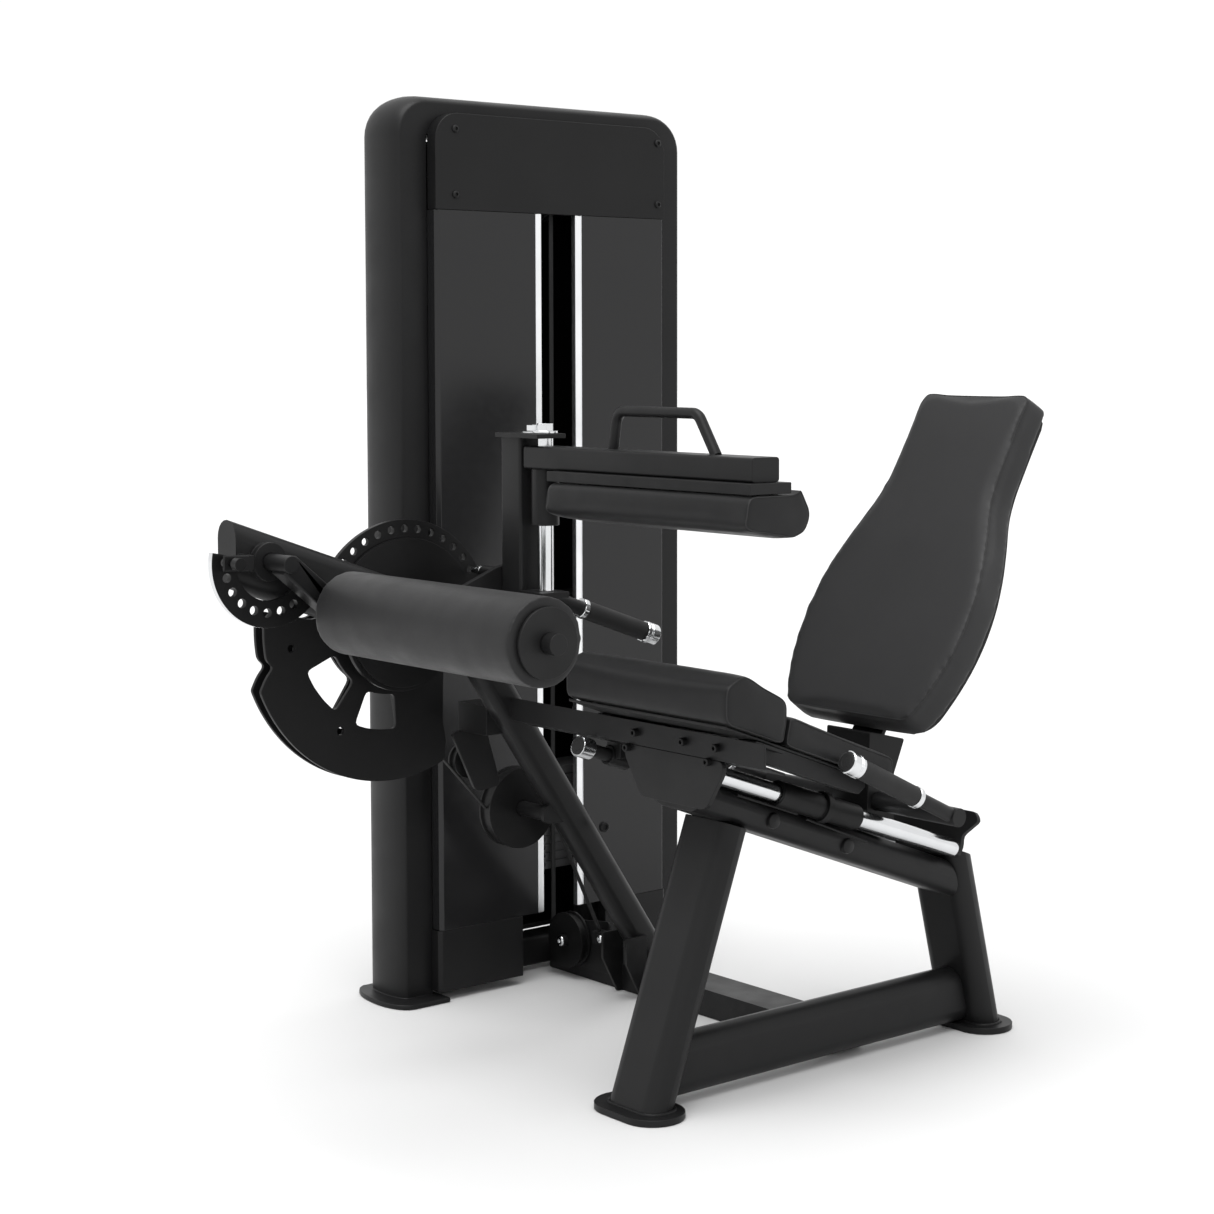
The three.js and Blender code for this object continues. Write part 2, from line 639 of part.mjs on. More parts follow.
function buildSlide() {
  for (const [name, side] of SIDES) {
    const y = SEAT_Y + side * SLIDE_ROD_OFFSET;
    const from = slidePoint(FRONT_PLATE_X + PLATE + GAP, y);
    const to = slidePoint(END_PLATE_X, y).addScaledVector(slideDown, -GAP);
    const section = circleSection(SLIDE_ROD_RADIUS, 24);
    const slideRod = bar(section, from, to, vec(0, 1, 0), vec(1, 0, 0), slideDown);
    add(`slide_rod_${name}`, slideRod, chrome());
  }
  const half = [[92, 62], [103, 49], [76, 22], [80, 4], [76, -11], [44, -13], [29, -16]];
  const outline = [...half, ...half.map(([s, t]) => [-s, t]).reverse()];
  const settings = { depth: PLATE, bevelEnabled: false, curveSegments: 2 };
  const plate = new THREE.ExtrudeGeometry(softPolygon(outline, 6), settings);
  plate.applyMatrix4(new THREE.Matrix4().makeBasis(vec(0, 1, 0), slideUp, slideDown));
  const centre = slidePoint(END_PLATE_X, SEAT_Y);
  add('rear_end_plate', plate.translate(centre.x, centre.y, centre.z), paint());
}

function buildCarriage() {
  const sleeves = [];
  const bores = [];
  for (const [, side] of SIDES) {
    const y = SEAT_Y + side * SLIDE_ROD_OFFSET;
    const tube = rod(SLEEVE_RADIUS, slidePoint(81, y), slidePoint(243, y), 24);
    const ring = rod(SLEEVE_RADIUS + 4, slidePoint(168, y), slidePoint(180, y), 24);
    const bore = rod(SLIDE_ROD_RADIUS + GAP, slidePoint(60, y), slidePoint(300, y), 24);
    sleeves.push(join(tube, ring));
    bores.push(bore);
  }
  const half = SLIDE_ROD_OFFSET - SLEEVE_RADIUS + 2;
  const outline = [
    [108, slideZ(108) - 5], [346, slideZ(346) - 5], [345, 440], [368, 493], [292, 512],
    [288, slideZ(288) + 16], [108, slideZ(108) + 14],
  ];
  const shell = plateXZ(softPolygon(outline, 4), SEAT_Y - half, 2 * half);
  const inner = [[300, 300], [338, 340], [336, 441], [358, 487], [300, 500], [297, 398]];
  const hollow = plateXZ(polygon(inner), SEAT_Y - half + 5, 2 * half - 10);
  const crossAt = (y) => vec(GRIP_ROOT[0], SEAT_Y + y, GRIP_ROOT[1]);
  const crossBore = rod(GRIP_TUBE + 3 + GAP, crossAt(-90), crossAt(90), 20);
  const upright = box(62, 70, -32, 32, -46, 330);
  upright.rotateY(PAD_LEAN).translate(PAD_FOOT[0], SEAT_Y, PAD_FOOT[1]);
  add('back_carriage', cut(join(shell, upright, ...sleeves), hollow, crossBore, ...bores), paint());
}

// Half width of the back cushion at a given height along it.
function backHalfWidths() {
  return [
    [PAD_DROP, 130], [18, 149], [65, 165], [112, 175], [160, 178], [211, 174], [265, 162], [316, 145],
    [362, 127], [404, 120], [470, 118], [PAD_LENGTH, 117],
  ];
}

function backOutline(inset) {
  const half = backHalfWidths().map(([z, w]) => [w - inset, z]);
  half[0] = [half[0][0], PAD_DROP + inset];
  half[half.length - 1] = [half[half.length - 1][0], PAD_LENGTH - inset];
  return softPolygon([...half, ...half.map(([w, z]) => [-w, z]).reverse()], 22);
}

function buildBackPad(parent) {
  add('back_pad', plateYZ(backOutline(0), 0, PAD_THICKNESS), cushion(), parent);
  const thickness = 62 - PAD_THICKNESS - 2 * GAP;
  add('back_board', plateYZ(backOutline(12), PAD_THICKNESS + GAP, thickness), blackPlastic(), parent);
}

// ---- grips --------------------------------------------------------------

// A bar with an end cap and a ring; the soft sleeve between them is a piece of its own.
function gripPieces(name, free, root, rootNormal = null) {
  const axis = root.clone().sub(free).normalize();
  const at = (d) => free.clone().addScaledVector(axis, d);
  const bore = rod(GRIP_TUBE + GAP, at(20), at(160), 20);
  const sleeve = cut(rod(GRIP_SLEEVE, at(26 + GAP), at(152 - GAP)), bore);
  add(`${name}_sleeve`, sleeve, rubber());
  const stem = bar(circleSection(GRIP_TUBE, 20), at(20), root, vec(0, 1, 0), null, rootNormal);
  return join(rod(GRIP_SLEEVE + 2, at(0), at(26)), rod(GRIP_SLEEVE + 1, at(152), at(161)), stem);
}

function buildGrips() {
  const reach = 202;
  const end = (side) => vec(GRIP_ROOT[0], SEAT_Y + side * (reach + 13), GRIP_ROOT[1]);
  const pieces = [rod(GRIP_TUBE + 3, end(-1), end(1), 20)];
  for (const [name, side] of SIDES) {
    const y = SEAT_Y + side * reach;
    const [from, to] = [GRIP_CAP, GRIP_ROOT].map(([x, z]) => vec(x, y, z));
    pieces.push(gripPieces(`grip_${name}`, from, to));
  }
  add('grip_frame', join(...pieces), chrome());
  const onPost = vec(POST_X + 22 + GAP, 45, 721);
  const assist = gripPieces('assist_grip', vec(178, 45, 634), onPost, vec(1, 0, 0));
  add('assist_grip_bar', assist, chrome());
}

// ---- post and thigh hold-down -------------------------------------------

function buildPost() {
  const section = roundedSection(44, 50, 5, 2);
  const columnAt = (z) => vec(POST_X, POST_Y, z);
  const column = bar(section, columnAt(POST_BOTTOM), columnAt(POST_TOP + 1), vec(1, 0, 0));
  const bore = rod(12 + GAP, vec(...SHAFT, 900), vec(...SHAFT, 980));
  const top = box(-112, -58, -30, 76, POST_TOP, POST_TOP + 7);
  const bottom = box(-106, -54, -32, POST_Y - 20, 716, 726);
  add('post', cut(join(column, top, bottom), bore), paint());
  const shaft = rod(12, vec(...SHAFT, 726 + GAP), vec(...SHAFT, POST_TOP + 9), 24);
  const washer = rod(19, vec(...SHAFT, POST_TOP + 7 + GAP), vec(...SHAFT, POST_TOP + 11), 24);
  const nut = rod(13, vec(...SHAFT, POST_TOP + 10.5), vec(...SHAFT, POST_TOP + 22), 6);
  add('hold_down_shaft', join(shaft, washer, nut), chrome());
}

function buildHoldDown() {
  const beamTop = 938;
  const beamNear = -495;
  const bore = rod(12 + GAP, vec(...SHAFT, 700), vec(...SHAFT, 1000), 24);
  const axisZ = beamTop - 10;
  const beamAt = (y) => vec(-79.5, y, axisZ);
  const beam = bar(roundedSection(50, 34, 4, 2), beamAt(beamNear), beamAt(14), vec(1, 0, 0));
  const sleeve = rod(21, vec(...SHAFT, 826), vec(...SHAFT, axisZ), 24);
  const feet = axisZ + 15;
  const handle = bentBar(circleSection(8, 14), [
    vec(-76, -165, feet), vec(-76, -175, feet + 58), vec(-76, -352, feet + 58), vec(-76, -391, feet),
  ], 20, vec(1, 0, 0), 5);
  add('hold_down_beam', cut(join(beam, sleeve, handle), bore), paint());
  add('hold_down_board', box(-118, -42, -506, -60, 895.3, 910.7), blackPlastic());
  const profile = softPolygon([
    [-122, 895], [-33, 895], [-26, 906], [-4, 866], [-16, 840], [-39, 832], [-126, 847], [-131, 856],
  ], 7);
  add('hold_down_pad', plateXZ(profile, -510, 445), cushion());
}

// ---- lever, cam and roller ----------------------------------------------

function camOutline() {
  const shape = polygon([
    [-134, 12], polar(217, 172), ...arc(225, 175, 192, 3), polar(217, 194), polar(232, 196),
    ...arc(248, 200, 293, 18),
    [104, -196], [96, -168], [100, -60], ...arc(112, -30, 160, 12),
  ]);
  for (const [from, to] of [[203, 232], [247, 273]]) {
    const window = ringSector(112, 163, from, to, 5).reverse();
    shape.holes.push(new THREE.Path(window.map(([x, z]) => new THREE.Vector2(x, z))));
  }
  for (const [radius, angle] of [[180, 188.6], [186, 240]]) {
    shape.holes.push(circleHole(...polar(radius, angle), 6));
  }
  return shape;
}

function buildCam(parent) {
  const bore = rod(SHAFT_RADIUS + GAP, vec(0, 0, 0), vec(0, 300, 0));
  const core = polygon(ringSector(200, 238, 205, 290, 14));
  const between = CAM_FAR - CAM_NEAR - 5;
  const cam = join(
    plateXZ(camOutline(), CAM_NEAR, 7),
    plateXZ(camOutline(), CAM_FAR, 7),
    plateXZ(core, CAM_NEAR + 6, between),
    rod(60, vec(0, CAM_NEAR + 6, 0), vec(0, CAM_FAR + 1, 0), 32),
  );
  add('cam', cut(cam, bore), darkPaint(), parent);
  const outline = polygon([...arc(161, -12, 172, 28), ...arc(104, 180, 340, 20)]);
  for (let k = 0; k < 12; k += 1) {
    outline.holes.push(circleHole(...polar(RANGE_RADIUS, RANGE_START + RANGE_PITCH * k), 6, 12));
  }
  const range = join(
    plateXZ(outline, DISC_NEAR, 9),
    plateXZ(polygon([...arc(133, -10, 170, 24), ...arc(98, 182, 338, 16)]), DISC_NEAR - 6, 7),
    rod(60, vec(0, DISC_NEAR + 8, 0), vec(0, CAM_NEAR - GAP, 0), 32),
  );
  add('range_disc', cut(range, bore), darkPaint(), parent);
  const journal = rod(SHAFT_RADIUS, vec(0, 6, 0), vec(0, CAM_FAR + 18, 0), 32);
  add('pivot_shaft', join(journal, rod(30, vec(0, 0, 0), vec(0, 8, 0), 32)), chrome(), parent);
}

function rangePinPlace() {
  const [x, z] = polar(RANGE_RADIUS, RANGE_START);
  return [PIVOT[0] + x, PIVOT[1] + z];
}

function buildPivotHousing() {
  const [px, pz] = PIVOT;
  const bore = rod(SHAFT_RADIUS + 1, vec(px, 0, pz), vec(px, 300, pz));
  const outline = softPolygon([
    [px - 46, pz + 20], [px - 46, pz - 30], [px - 10, pz - 56], [-104, POST_BOTTOM],
    [-62, POST_BOTTOM], [-62, 762], [-104, 762], [px, pz + 52],
  ], 16);
  const tube = rod(38, vec(px, HOUSING_NEAR + 5, pz), vec(px, 172, pz), 32);
  const [x, z] = rangePinPlace();
  const sleeve = rod(9, vec(x, HOUSING_NEAR + 5, z), vec(x, 150, z), 20);
  const pinBore = rod(5 + GAP, vec(x, 60, z), vec(x, 200, z), 16);
  add('pivot_housing', cut(join(plateXZ(outline, HOUSING_NEAR, 10), tube, sleeve), bore, pinBore), paint());
}

const leverRise = Math.tan(LEVER_ANGLE);
const leverAxis = vec(-Math.cos(LEVER_ANGLE), 0, Math.sin(LEVER_ANGLE));

function buildLever(parent) {
  const bore = rod(SHAFT_RADIUS + GAP, vec(0, 0, 0), vec(0, 100, 0));
  const end = vec(-390, 39.5, 390 * leverRise);
  const section = roundedSection(50, 90, 24.5, 5);
  const beam = bar(section, vec(0, 39.5, 0), end, vec(0, 1, 0), leverAxis, vec(-1, 0, 0));
  const hub = rod(52, vec(0, 14.5, 0), vec(0, 64.5, 0), 32);
  const swing = vec(SWING[0] - PIVOT[0], 0, SWING[1] - PIVOT[1]);
  const bearing = rod(27, vec(swing.x, 4, swing.z), vec(swing.x, 16, swing.z), 28);
  const swingBore = rod(12 + GAP, vec(swing.x, -5, swing.z), vec(swing.x, 45, swing.z));
  const [strapX, strapZ] = polar(1, LOCK_ANGLE);
  const strapAxis = vec(strapX, 0, strapZ);
  const strapAt = (r, y) => swing.clone().addScaledVector(strapAxis, r).setY(y);
  const strap = join(
    bar(roundedSection(5, 22, 2, 2), strapAt(36, -12), strapAt(83, -12), vec(0, 1, 0)),
    bar(roundedSection(10, 22, 2, 2), strapAt(41, -14.5), strapAt(41, 17), strapAxis),
  );
  const lockBore = rod(5 + GAP, strapAt(ADJUSTER_RADIUS, -40), strapAt(ADJUSTER_RADIUS, 10), 14);
  add('lever_beam', cut(join(beam, hub, bearing, strap), bore, swingBore, lockBore), paint(), parent);
}

function buildSwingArm(parent) {
  const roller = vec(ROLLER[0] - SWING[0], 0, ROLLER[1] - SWING[1]);
  const axis = roller.clone().normalize();
  const across = roller.clone().addScaledVector(axis, 20);
  const linkStart = axis.clone().multiplyScalar(2).setY(-28);
  const link = bar(roundedSection(36, 32, 4, 2), linkStart, across.setY(-28), vec(0, 1, 0));
  const shaft = rod(12, vec(0, -52, 0), vec(0, 40, 0));
  const axle = rod(12, vec(roller.x, -520, roller.z), vec(roller.x, -20, roller.z));
  const knob = rod(14, vec(roller.x, -535, roller.z), vec(roller.x, -516.5, roller.z));
  const spacerAt = (y) => axis.clone().multiplyScalar(ADJUSTER_RADIUS + 4).setY(y);
  const spacer = rod(9, spacerAt(-12), spacerAt(4 - GAP), 20);
  add('swing_arm', join(link, shaft, axle, knob, spacer), paint(), parent);

  const shape = polygon(ringSector(54, 92, 169, 328, 22));
  for (let i = 0; i < 8; i += 1) {
    const place = polar(ADJUSTER_RADIUS, LOCK_ANGLE + i * ADJUSTER_PITCH);
    shape.holes.push(circleHole(...place, 6.5, 12));
  }
  add('swing_adjuster', plateXZ(shape, 4, 14.5 - 4 - GAP), chrome(), parent);
}

function buildSwingLock(parent) {
  const [pinX, pinZ] = polar(ADJUSTER_RADIUS, LOCK_ANGLE);
  const pinAt = (y) => vec(pinX, y, pinZ);
  const pin = join(rod(5, pinAt(-26), pinAt(3.5), 14), rod(9, pinAt(-38), pinAt(-25), 20));
  add('swing_pin', pin, chrome(), parent);
}

function buildRoller(parent) {
  const bore = rod(12 + GAP + 0.2, vec(0, -600, 0), vec(0, 0, 0));
  const core = rod(20, vec(0, -512, 0), vec(0, -58, 0));
  const pad = rod(ROLLER_RADIUS, vec(0, -510 + GAP, 0), vec(0, -60 - GAP, 0), 48);
  add('roller_pad', cut(pad, rod(20 + GAP, vec(0, -600, 0), vec(0, 0, 0))), cushion(), parent);
  const ends = [[-515, -510], [-60, -55]].map(([from, to]) => rod(46, vec(0, from, 0), vec(0, to, 0), 32));
  add('roller_core', cut(join(core, ...ends), bore), blackPlastic(), parent);
}

// ---- brace, pulleys and belts -------------------------------------------
const BRACE_TOP = vec(-171, 104, 683);
const BRACE_FOOT = vec(322, 216, 45 + GAP);

function braceBar() {
  return bar(roundedSection(44, 52, 16, 4), BRACE_FOOT, BRACE_TOP, vec(0, 1, 0), vec(0, 0, 1));
}

// Holds the lower pulley and the end of the belt on the side of the floor beam.
function pulleyPlate() {
  const [y, z] = LOWER_PULLEY;
  const outline = softPolygon([[y - 96, 20], [y - 96, 112], [y + 20, 96], [y + 20, 20]], 8);
  const pin = rod(10, vec(BELT_X - 19, y, z), vec(BASE_BEAM[0], y, z), 20);
  const clevis = box(BELT_X - 9, BASE_BEAM[0], y - 94, y - 74, 76, 96);
  return join(plateYZ(outline, BASE_BEAM[0] - 3, 3.5), pin, clevis);
}

function buildBase() {
  const edge = BASE_BEAM[0] + 2;
  const ear = [[edge, 0.5], [edge - 12, 0.5], [228, 62], [228, 106], [edge, 106]];
  const ears = [176, 239].map((y) => plateXZ(polygon(ear), y, 6));
  const beam = box(...BASE_BEAM, SEAT_Y + 25 + GAP, 468 - 26 - GAP, 0, 45);
  add('base_beam', join(beam, ...ears, pulleyPlate()), paint());
  const [sx, sz] = SEGMENT_PULLEY;
  const lugOutline = [[sx - 13, sz - 14], [sx - 13, sz + 14], [sx + 28, sz + 22], [sx + 58, sz - 18]];
  const lug = plateXZ(softPolygon(lugOutline, 12), 148, 10);
  const axle = rod(12, vec(sx, 149, sz), vec(sx, BELT_PLANE + 23, sz));
  const [gx, gz] = GUIDE_PULLEY;
  const arm = join(
    plateXZ(softPolygon([[-104, 486], [-38, 491], [-8, 392], [-57, 386]], 10), 206, 7),
    box(-86, -44, 138, 214, 488, 534),
  );
  const guideAxle = rod(8, vec(gx, 208, gz), vec(gx, BELT_PLANE + 16, gz), 20);
  const housing = rod(38 + GAP, vec(PIVOT[0], 60, PIVOT[1]), vec(PIVOT[0], 180, PIVOT[1]), 32);
  add('brace', cut(join(braceBar(), lug, axle, arm, guideAxle), housing), paint());
}

// A flat belt between two points, its width along `side`.
function belt(from, to, side) {
  return bar(roundedSection(BELT_WIDTH, BELT_THICKNESS, 0.6, 1), from, to, side);
}

function buildPulleys() {
  const [sx, sz] = SEGMENT_PULLEY;
  const camPulley = pulleyGeometry(SEGMENT_PULLEY_R, 30, 12.4, 36);
  add('cam_pulley', camPulley.translate(sx, BELT_PLANE, sz), darkPaint());
  const [gx, gz] = GUIDE_PULLEY;
  add('guide_pulley', pulleyGeometry(24, 20, 8.4, 24).translate(gx, BELT_PLANE, gz), blackPlastic());
  const lower = pulleyGeometry(LOWER_PULLEY_R, 20, 10.4, 28).rotateZ(Math.PI / 2);
  add('lower_pulley', lower.translate(BELT_X, ...LOWER_PULLEY), darkPaint());
  const radius = Math.hypot(BELT_X - TOWER_X, STACK_Y - BELT_Y) / 2 - BELT_THICKNESS / 2 - 2.5;
  const top = pulleyGeometry(radius, 22, 8.4, 24).rotateZ(TOP_PULLEY_TURN);
  add('top_pulley', top.translate(TOWER_X + TOP_PULLEY[0], TOP_PULLEY[1], TOP_PULLEY[2]), blackPlastic());
}

function buildBelts() {
  const [sx, sz] = SEGMENT_PULLEY;
  const [ly, lz] = LOWER_PULLEY;
  const across = vec(0, 1, 0);
  const along = vec(1, 0, 0);
  const intoPulley = vec(sx - SEGMENT_PULLEY_R - 2, BELT_PLANE, sz + 6);
  add('belt_cam', belt(vec(-101, BELT_PLANE, 441), intoPulley, across), rubber());
  const outOfPulley = vec(sx + SEGMENT_PULLEY_R + 3, BELT_PLANE, sz - 4);
  add('belt_floor', belt(outOfPulley, vec(BELT_X - 1, ly - 84, 98), across), rubber());
  const riser = belt(vec(BELT_X, BELT_Y, lz), vec(BELT_X, BELT_Y, TOP_PULLEY_Z), along);
  add('belt_riser', riser, rubber());
  const headTop = STATIC_TOP + STACK_LIFT + LIFTED_PLATES * STACK_PITCH + 62;
  const drop = belt(vec(TOWER_X, STACK_Y, headTop + GAP), vec(TOWER_X, STACK_Y, TOP_PULLEY_Z), along);
  add('belt_drop', drop, rubber());
}

// ---- small controls -----------------------------------------------------
const releaseAt = (d) => vec(-86, RELEASE_Y, 502).addScaledVector(slideDown, d);

function releaseGuide() {
  const lug = box(-24, 0, RELEASE_Y - 24, RELEASE_Y + 8, 478, 514);
  const sleeve = join(rod(15, releaseAt(60), releaseAt(100)), lug);
  return cut(sleeve, rod(10 + GAP, releaseAt(50), releaseAt(130), 20));
}

function buildControls() {
  const [x, z] = rangePinPlace();
  const pinAt = (y) => vec(x, y, z);
  const rangePin = join(rod(5, pinAt(100), pinAt(177), 16), rod(8, pinAt(152), pinAt(162), 16));
  add('range_pin', rangePin, chrome());
  const pinZ = STATIC_TOP + STACK_LIFT + STACK_PITCH / 2;
  const front = STACK_Y - STACK_DEPTH / 2;
  const selectorAt = (y) => vec(TOWER_X, front + y, pinZ);
  const selectorKnob = rod(7, selectorAt(-20), selectorAt(-1), 16);
  const selectorStem = rod(4.5, selectorAt(-2), selectorAt(20), 12);
  add('selector_pin', join(selectorKnob, selectorStem), blackPlastic());
  const release = join(rod(16, releaseAt(0), releaseAt(24)), rod(10, releaseAt(20), releaseAt(118), 20));
  add('release_knob', release, chrome());
}

// ---- assembly -----------------------------------------------------------
const tower = new THREE.Group();
tower.position.set(TOWER_X, 0, 0);
machine.add(tower);
buildTower(tower);
buildStack(tower);
buildSeatFrame();
buildSeat();
buildSlide();
buildCarriage();
const backRest = new THREE.Group();
backRest.position.set(PAD_FOOT[0], SEAT_Y, PAD_FOOT[1]);
backRest.rotation.y = PAD_LEAN;
machine.add(backRest);
buildBackPad(backRest);
buildGrips();
buildPost();
buildHoldDown();
buildPivotHousing();
const lever = new THREE.Group();
lever.position.set(PIVOT[0], 0, PIVOT[1]);
machine.add(lever);
buildCam(lever);
buildLever(lever);
const swingArm = new THREE.Group();
swingArm.position.set(SWING[0], 0, SWING[1]);
machine.add(swingArm);
buildSwingArm(swingArm);
buildSwingLock(swingArm);
const roller = new THREE.Group();
roller.position.set(ROLLER[0], 0, ROLLER[1]);
machine.add(roller);
buildRoller(roller);
buildBase();
buildPulleys();
buildBelts();
buildControls();

// The origin is the middle of the machine's floor rectangle.
const bounds = new THREE.Box3().setFromObject(machine, true);
const middle = bounds.getCenter(new THREE.Vector3());
machine.position.set(-middle.x, -middle.y, -bounds.min.z);

export default machine;
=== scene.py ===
import json
import math

import bmesh
import bpy
import numpy as np
from mathutils import Matrix, Vector
from mathutils.bvhtree import BVHTree


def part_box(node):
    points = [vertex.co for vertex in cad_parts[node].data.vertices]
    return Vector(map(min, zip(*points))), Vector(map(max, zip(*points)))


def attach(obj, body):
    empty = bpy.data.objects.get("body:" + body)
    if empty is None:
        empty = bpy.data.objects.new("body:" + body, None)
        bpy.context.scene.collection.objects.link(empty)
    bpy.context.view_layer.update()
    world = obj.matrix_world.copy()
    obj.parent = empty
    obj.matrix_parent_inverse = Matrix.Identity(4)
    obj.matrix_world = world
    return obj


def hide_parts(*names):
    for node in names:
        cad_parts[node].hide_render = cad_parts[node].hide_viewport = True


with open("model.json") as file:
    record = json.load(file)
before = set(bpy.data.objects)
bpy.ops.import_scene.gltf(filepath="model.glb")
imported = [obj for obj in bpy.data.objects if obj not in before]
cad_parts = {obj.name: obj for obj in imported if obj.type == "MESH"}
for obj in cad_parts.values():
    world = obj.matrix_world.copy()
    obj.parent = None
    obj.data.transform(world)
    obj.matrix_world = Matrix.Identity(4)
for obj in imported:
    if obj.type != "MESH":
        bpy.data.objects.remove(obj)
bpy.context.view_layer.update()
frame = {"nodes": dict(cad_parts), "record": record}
MM = 0.001
NODES = frame["nodes"]
NODE_SLOT = {s["node"]: s["material_slot"] for s in frame["record"]["subparts"]}
NODE_BODY = {n: b for b, ns in frame["record"]["behaviour"]["bodies"].items() for n in ns}

X, Y, Z = Vector((1, 0, 0)), Vector((0, 1, 0)), Vector((0, 0, 1))

# Driving dimensions of the drawing, in millimetres and radians.
TOWER_X = 240  # middle of the weight tower
COVER_FRONT = 381  # front of the tower's panels
SLOT_STRIPS = {"left": (198.4, 212.6), "right": (284.4, 298.6)}
ROD_Y = 456
ROD_REACH = 125  # from the tower's middle to a guide rod
SEAT_Y = -280  # middle of the seat
PIVOT = (-207, 669)  # the lever's axis, in X and Z
SWING = (-549, 797)  # the roller arm's axis, in X and Z
SHAFT_BORE = 20.3
SEAT_TILT = 0.3538
BACK_TILT = 0.546
GRIP_SPREAD = 202  # from the seat's middle to a grip
GRIP_BAR_HALF = 215
GRIP_ROOT = (310, 403)
SLEEVE_ENDS = (26.5, 151.5)  # a grip's sleeve, from its free end
GRIP_BAND_END = 161.5

# Welding and flattening of the CAD's triangles.
WELD_DISTANCE = 2e-5
FLAT_ANGLE = math.radians(0.6)

# Cushions: one cloth for all of them.
CLOTH_PRESSURE = 4.0
CLOTH_FRAMES = 20
CLOTH_STIFFNESS = 30
CLOTH_BENDING = 4
EVENING_ROUNDS = 25
VOXEL = 5
SEAM_RADIUS = 0.9
SEAM_STEP = 4.0


def middle(node):
    lo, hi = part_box(node)
    return (lo + hi) / 2


# The drawing's origin in the scene, found from the tower's middle along X and the seat's along Y.
ORIGIN = Vector((middle("rear_cover").x - TOWER_X * MM, middle("seat_pad").y - SEAT_Y * MM, 0))


def at(x, y, z):
    """A point of the drawing, in millimetres, as a point of the scene."""
    return ORIGIN + Vector((x, y, z)) * MM


def drawing(point):
    """A point of the scene in the drawing's millimetres."""
    return (point - ORIGIN) / MM


# ---------------------------------------------------------------- materials
def shader(name):
    material = bpy.data.materials.new(name)
    material.use_nodes = True
    tree = material.node_tree
    tree.nodes.clear()
    out = tree.nodes.new("ShaderNodeOutputMaterial")
    bsdf = tree.nodes.new("ShaderNodeBsdfPrincipled")
    tree.links.new(bsdf.outputs["BSDF"], out.inputs["Surface"])
    return material, tree, bsdf


def node(tree, kind, inputs=(), **settings):
    made = tree.nodes.new(kind)
    for key, value in settings.items():
        setattr(made, key, value)
    for key, value in dict(inputs).items():
        if isinstance(value, bpy.types.NodeSocket):
            tree.links.new(value, made.inputs[key])
        else:
            made.inputs[key].default_value = value
    return made


def noise(tree, coords, scale, detail=2.0, rough=0.5):
    inputs = {"Vector": coords, "Scale": scale, "Detail": detail, "Roughness": rough}
    return node(tree, "ShaderNodeTexNoise", inputs).outputs["Fac"]


def ramp(tree, value, lo, hi, to_lo, to_hi):
    return node(tree, "ShaderNodeMapRange", {0: value, 1: lo, 2: hi, 3: to_lo, 4: to_hi}).outputs[0]


def object_coords(tree):
    return node(tree, "ShaderNodeTexCoord").outputs["Object"]


def patches(tree, coords, scale, detail, low, high):
    """Soft blotches of noise between two values."""
    return ramp(tree, noise(tree, coords, scale, detail), 0.3, 0.7, low, high)


def times(tree, a, b):
    return node(tree, "ShaderNodeMath", {0: a, 1: b}, operation="MULTIPLY").outputs[0]


def tint(tree, colour, factor):
    """Colour times a grey factor."""
    mix = node(tree, "ShaderNodeMix", {0: 1.0}, data_type="RGBA", blend_type="MULTIPLY")
    mix.inputs[6].default_value = (*colour, 1)
    grey = node(tree, "ShaderNodeCombineColor", {0: factor, 1: factor, 2: factor})
    tree.links.new(grey.outputs[0], mix.inputs[7])
    return mix.outputs[2]


def blend_colour(tree, factor, base, other):
    mix = node(tree, "ShaderNodeMix", {0: factor}, data_type="RGBA")
    tree.links.new(base, mix.inputs[6])
    mix.inputs[7].default_value = (*other, 1)
    return mix.outputs[2]


def bumped(tree, bsdf, layers):
    """Chains bump layers of (height socket, strength, distance in metres)."""
    normal = None
    for height, strength, distance in layers:
        inputs = {"Height": height, "Strength": strength, "Distance": distance}
        if normal is not None:
            inputs["Normal"] = normal
        normal = node(tree, "ShaderNodeBump", inputs).outputs["Normal"]
    tree.links.new(normal, bsdf.inputs["Normal"])


def set_sockets(bsdf, values):
    for key, value in values.items():
        bsdf.inputs[key].default_value = value


def powder_coat(name, colour, roughness, wear=0.35, specular=0.45, grain=0.22):
    """Sprayed paint: fine orange peel, faint cloudiness, rubbed lighter edges."""
    material, tree, bsdf = shader(name)
    coords = object_coords(tree)
    cloud = patches(tree, coords, 7.0, 4.0, 0.88, 1.12)
    fleck = ramp(tree, noise(tree, coords, 2600.0, 1.0), 0.35, 0.65, 0.86, 1.16)
    base = tint(tree, colour, times(tree, cloud, fleck))
    edge = node(tree, "ShaderNodeNewGeometry").outputs["Pointiness"]
    rub = ramp(tree, edge, 0.56, 0.64, 0.0, wear)
    patch = ramp(tree, noise(tree, coords, 45.0, 3.0), 0.42, 0.62, 0.25, 1.0)
    base = blend_colour(tree, times(tree, rub, patch), base, tuple(c * 2.2 for c in colour))
    tree.links.new(base, bsdf.inputs["Base Color"])
    smear = patches(tree, coords, 18.0, 5.0, roughness - 0.05, roughness + 0.06)
    tree.links.new(smear, bsdf.inputs["Roughness"])
    peel, waves = noise(tree, coords, 900.0, 2.0), noise(tree, coords, 160.0, 1.0)
    bumped(tree, bsdf, [(peel, grain, 0.00025), (waves, 0.06, 0.0006)])
    set_sockets(bsdf, {"Metallic": 0.0, "Specular IOR Level": specular})
    return material


